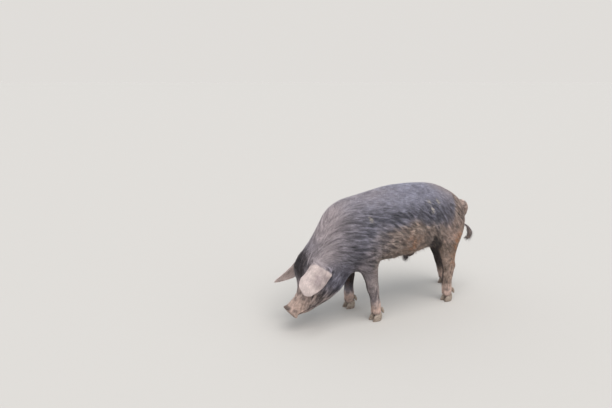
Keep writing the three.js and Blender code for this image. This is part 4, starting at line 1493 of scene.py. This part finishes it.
def leg_uv(at, facing):
    """Each leg is unwrapped round its height, in a quarter of the map."""
    uv = np.zeros((len(at), 2))
    for number, foot in enumerate(FEET.values()):
        same_side = np.sign(at[:, :2] - (0, MID_Y)) == np.sign(foot[:2] - (0, MID_Y))
        here = same_side.all(axis=1)
        corner = (number % 2 * 0.5, number // 2 * 0.5)
        uv[here] = 0.48 * unwrapped(at[here], foot, Z, X, (-0.05, 0.40)) + corner
    return uv


def ear_uv(at, facing):
    """Each face of each ear lies flat, in a quarter of the map."""
    uv = np.zeros((len(at), 2))
    for number, (root, tip) in enumerate(EARS.values()):
        sign = 2 * number - 1
        here = np.sign(at[:, 1] - MID_Y) == sign
        outside = facing[here, 2] + 0.5 * sign * facing[here, 1] > 0
        away = at[here] - root
        uv[here, 0] = away @ unit(tip - root) + 0.5 * number
        uv[here, 1] = away @ unit(np.cross(unit(tip - root), Y)) + 0.4 * outside
    return uv


def tail_uv(at, facing):
    """Unwrapped round the tail, from its root to its tip."""
    share = distance_to_path(at, TAIL_PATH)[1]
    return np.c_[np.arctan2(facing[:, 1], facing[:, 0]) / (2 * math.pi), share]


def body_sizes(at):
    """Long bristles that are longest on the crest, and short ones down the legs."""
    height, leg = at[:, 2], legness(at)
    crest = smoothstep(-0.25, -0.40, at[:, 0]) * smoothstep(0.10, 0.0, aside(at))
    long = 0.028 + 0.012 * crest
    length = long + (0.010 + 0.007 * smoothstep(0.05, 0.28, height) - long) * leg
    return length, 0.0017 - 0.0005 * leg, 0.0024 - 0.0011 * leg - 0.0004 * smoothstep(0.30, 0.05, height)


def head_sizes(at):
    """Shorter and finer towards the snout, and short round the eyes."""
    forward = head_coordinates(at)[:, 0]
    by_eye = smoothstep(0.040, 0.015, eye_distance(at))
    length = (0.019 - 0.013 * smoothstep(-0.05, 0.15, forward)) * (1 - 0.62 * by_eye)
    towards_snout = smoothstep(0.0, 0.15, forward)
    return length, 0.0013 - 0.0005 * towards_snout, 0.0016 - 0.0010 * towards_snout


def ear_sizes(at):
    return 0.0095, 0.0006, 0.0005


def tail_sizes(at):
    return 0.014 + 0.014 * smoothstep(0.50, 0.40, at[:, 2]), 0.0013, 0.0018


for name, here in (("left", left), ("right", ~left)):
    weight = (is_trunk & here) * (1 + 0.2 * face_shares["leg"])
    coat_region(f"trunk_{name}", weight, 50000, body_sizes, trunk_uv)
head_weight = is_head * (1 - face_nose) * (1 - 0.6 * face_snout) * ~on_lid
coat_region("head", head_weight, 75000, head_sizes, head_uv)
coat_region("legs", is_leg, 66000, body_sizes, leg_uv)
coat_region("ears", face_ear >= 0.5, 75000, ear_sizes, ear_uv, wander=0.25)
coat_region("tail", is_tail, 50000, tail_sizes, tail_uv)


def plain_marks(count, **given):
    """Marks that are all 0 but the ones given."""
    return {mark: np.full(count, float(given.get(mark, 0))) for mark in MARKS}


def long_hair(name, weight, count, way_of, size, uv_of, droop=None, slot="hide", **marks):
    """Longer hairs on a patch of skin, of a length and width. They hang, or lie if they have no droop."""
    count = int(count * HAIR_SHARE)
    length, width = size
    at, facing = scatter(weight, count)
    way = way_of(at, facing) + rng.normal(0, 0.14, (count, 3))
    long = length * rng.uniform(0.6, 1.2, count)
    if droop is None:
        lines, outs = lying(at, facing, flattened(way, facing), long, 0.006 * rng.uniform(0.5, 1.6, count))
    else:
        lines, outs = hanging(at, facing, units(way), long, droop * rng.uniform(0.6, 1.3, count))
    wide = width * rng.uniform(0.7, 1.2, count)
    hair_at = hair_place(at, region_shares(at))
    make_locks(name, lines, outs, wide, spread(uv_of(at, facing)), plain_marks(count, **marks), hair_at)


long_hair(
    "forelock", near(face_local, (-0.095, 0, 0.05), (0.044, 0.046, 0.06)) * (face_ear < 0.5), 560,
    lambda at, out: HEAD_FORWARD + HEAD_SIDE * (3 * head_coordinates(at)[:, 1])[:, None],
    (0.070, 0.0024), head_uv, black=0.8, band=1)
long_hair(
    "whiskers", (face_forward > 0.06) & (face_forward < 0.205) & (face_up < -0.03) & (face_nose < 0.5), 130,
    lambda at, out: out * 0.7 - HEAD_FORWARD * 0.5 - Z * 0.3,
    (0.014, 0.0006), head_uv, droop=0.25, slot="snout_skin", band=1)
cheeks = (face_forward > 0.0) & (face_forward < 0.18) & (face_up > -0.03) & (np.abs(face_side) > 0.03)
long_hair(
    "muzzle_hair", cheeks & (face_ear < 0.5) & ~on_lid, 110,
    lambda at, out: out * 0.7 - HEAD_FORWARD * 0.5,
    (0.010, 0.0005), head_uv, droop=0.3, slot="snout_skin", crest=1)
sheath_tip = corners("sheath")[0] * (1, 0, 1) + (0.012, MID_Y, 0.012)
long_hair(
    "sheath_tuft", near(face_middle, sheath_tip, (0.018, 0.016, 0.020)), 260,
    lambda at, out: np.array([-0.35, 0, -0.8]) + out * 0.4,
    (0.032, 0.0018), trunk_uv, droop=0.4, black=0.8, mud=0.4)
belly = (face_normal[:, 2] < -0.45) & is_trunk & (face_middle[:, 0] > -0.12) & (face_middle[:, 0] < 0.33)
long_hair(
    "belly_hair", belly, 520,
    lambda at, out: np.array([0.75, 0, -0.25]) + out * 0.35,
    (0.026, 0.0015), trunk_uv, droop=0.3, mud=1, shag=0.6)
long_hair(
    "tail_tuft", smoothstep(0.45, 0.9, distance_to_path(face_middle, TAIL_PATH)[1]) * is_tail, 420,
    lambda at, out: hair_direction(at, out, region_shares(at)) + 0.45 * out,
    (0.024, 0.0013), tail_uv, droop=0.5, black=0.55, mud=0.5)
long_hair(
    "foot_fringe", is_leg & (face_middle[:, 2] < 0.062) & (face_middle[:, 2] > 0.036), 700,
    lambda at, out: out * 0.25 - Z,
    (0.013, 0.0011), leg_uv, droop=0.1, bare=0.7, mud=0.5)


def make_lashes(name, centre, axes, count=26):
    """A row of lashes on the upper lid."""
    outward, along, up = axes
    share = np.linspace(-0.9, 0.9, count) + rng.normal(0, 0.02, count)
    a = 0.0105 * share
    roots = on_ball(centre, axes, EYE_RADIUS + 0.0026, a, lid_edges(a)[0] + 0.0006)
    way = units(outward * 0.75 + up * 0.35 + along * (0.5 * share)[:, None] - Z * 0.15)
    lines, outs = hanging(roots, np.tile(up, (count, 1)), way, rng.uniform(0.007, 0.011, count), 0.25)
    uv = 0.3 + 0.4 * np.c_[(share + 1) / 2, np.full(count, 0.5)]
    hair_at = hair_place(roots, region_shares(roots))
    make_locks(name, lines, outs, np.full(count, 0.0006), uv, plain_marks(count, band=1), hair_at)


make_lashes("lashes_left", *EYES["eye_left"])
make_lashes("lashes_right", *EYES["eye_right"])


# ------------------------------------------------------------------ stage
CAMERA = np.array([-2.3658, -2.8092, 1.5226])
VIEW = (0.530, 0.848, math.tan(math.radians(-13)))
LENS, SENSOR = 35, 36  # millimetres
FLOOR_REACH = 300
FLOOR_COLOUR = (0.56, 0.535, 0.505, 1)
BACKDROP_COLOUR = (0.745, 0.724, 0.698, 1)
SKY_COLOUR = (0.90, 0.95, 1.0, 1)
SKY_STRENGTH = 0.78
SUN_STRENGTH = 2.25
SUN_COLOUR = (1, 0.975, 0.95)
SUN_DIRECTION = (0.10, 0.50, -1.0)
SUN_ANGLE = math.radians(55)  # wide, for soft shadows


def set_stage():
    scene = bpy.context.scene
    scene.view_settings.view_transform = "Standard"
    camera = bpy.data.objects.new("camera", bpy.data.cameras.new("camera"))
    scene.collection.objects.link(camera)
    camera.location = CAMERA
    camera.rotation_euler = Vector(VIEW).to_track_quat("-Z", "Y").to_euler()
    camera.data.sensor_width = SENSOR
    camera.data.lens = LENS
    camera.data.clip_end = 60
    scene.camera = camera

    floor_material = bpy.data.materials.new("floor")
    floor_material.use_nodes = True
    shader = floor_material.node_tree.nodes["Principled BSDF"]
    shader.inputs["Base Color"].default_value = FLOOR_COLOUR
    shader.inputs["Roughness"].default_value = 0.95
    shader.inputs["Specular IOR Level"].default_value = 0.1
    floor_mesh = bpy.data.meshes.new("floor")
    square = [(x * FLOOR_REACH, y * FLOOR_REACH, 0) for x, y in ((-1, -1), (1, -1), (1, 1), (-1, 1))]
    floor_mesh.from_pydata(square, [], [(0, 1, 2, 3)])
    floor_mesh.materials.append(floor_material)
    new_object("floor", floor_mesh)

    world = bpy.data.worlds.new("studio")
    world.use_nodes = True
    nodes, links = world.node_tree.nodes, world.node_tree.links
    sky = nodes["Background"]
    sky.inputs["Color"].default_value = SKY_COLOUR
    sky.inputs["Strength"].default_value = SKY_STRENGTH
    backdrop = nodes.new("ShaderNodeBackground")
    backdrop.inputs["Color"].default_value = BACKDROP_COLOUR
    seen = nodes.new("ShaderNodeLightPath")
    mixed = nodes.new("ShaderNodeMixShader")
    links.new(seen.outputs["Is Camera Ray"], mixed.inputs[0])
    links.new(sky.outputs[0], mixed.inputs[1])
    links.new(backdrop.outputs[0], mixed.inputs[2])
    links.new(mixed.outputs[0], nodes["World Output"].inputs["Surface"])
    scene.world = world

    light = bpy.data.lights.new("soft_sun", "SUN")
    light.energy = SUN_STRENGTH
    light.angle = SUN_ANGLE
    light.color = SUN_COLOUR
    sun = bpy.data.objects.new("soft_sun", light)
    scene.collection.objects.link(sun)
    sun.rotation_euler = Vector(SUN_DIRECTION).to_track_quat("-Z", "Y").to_euler()


set_stage()
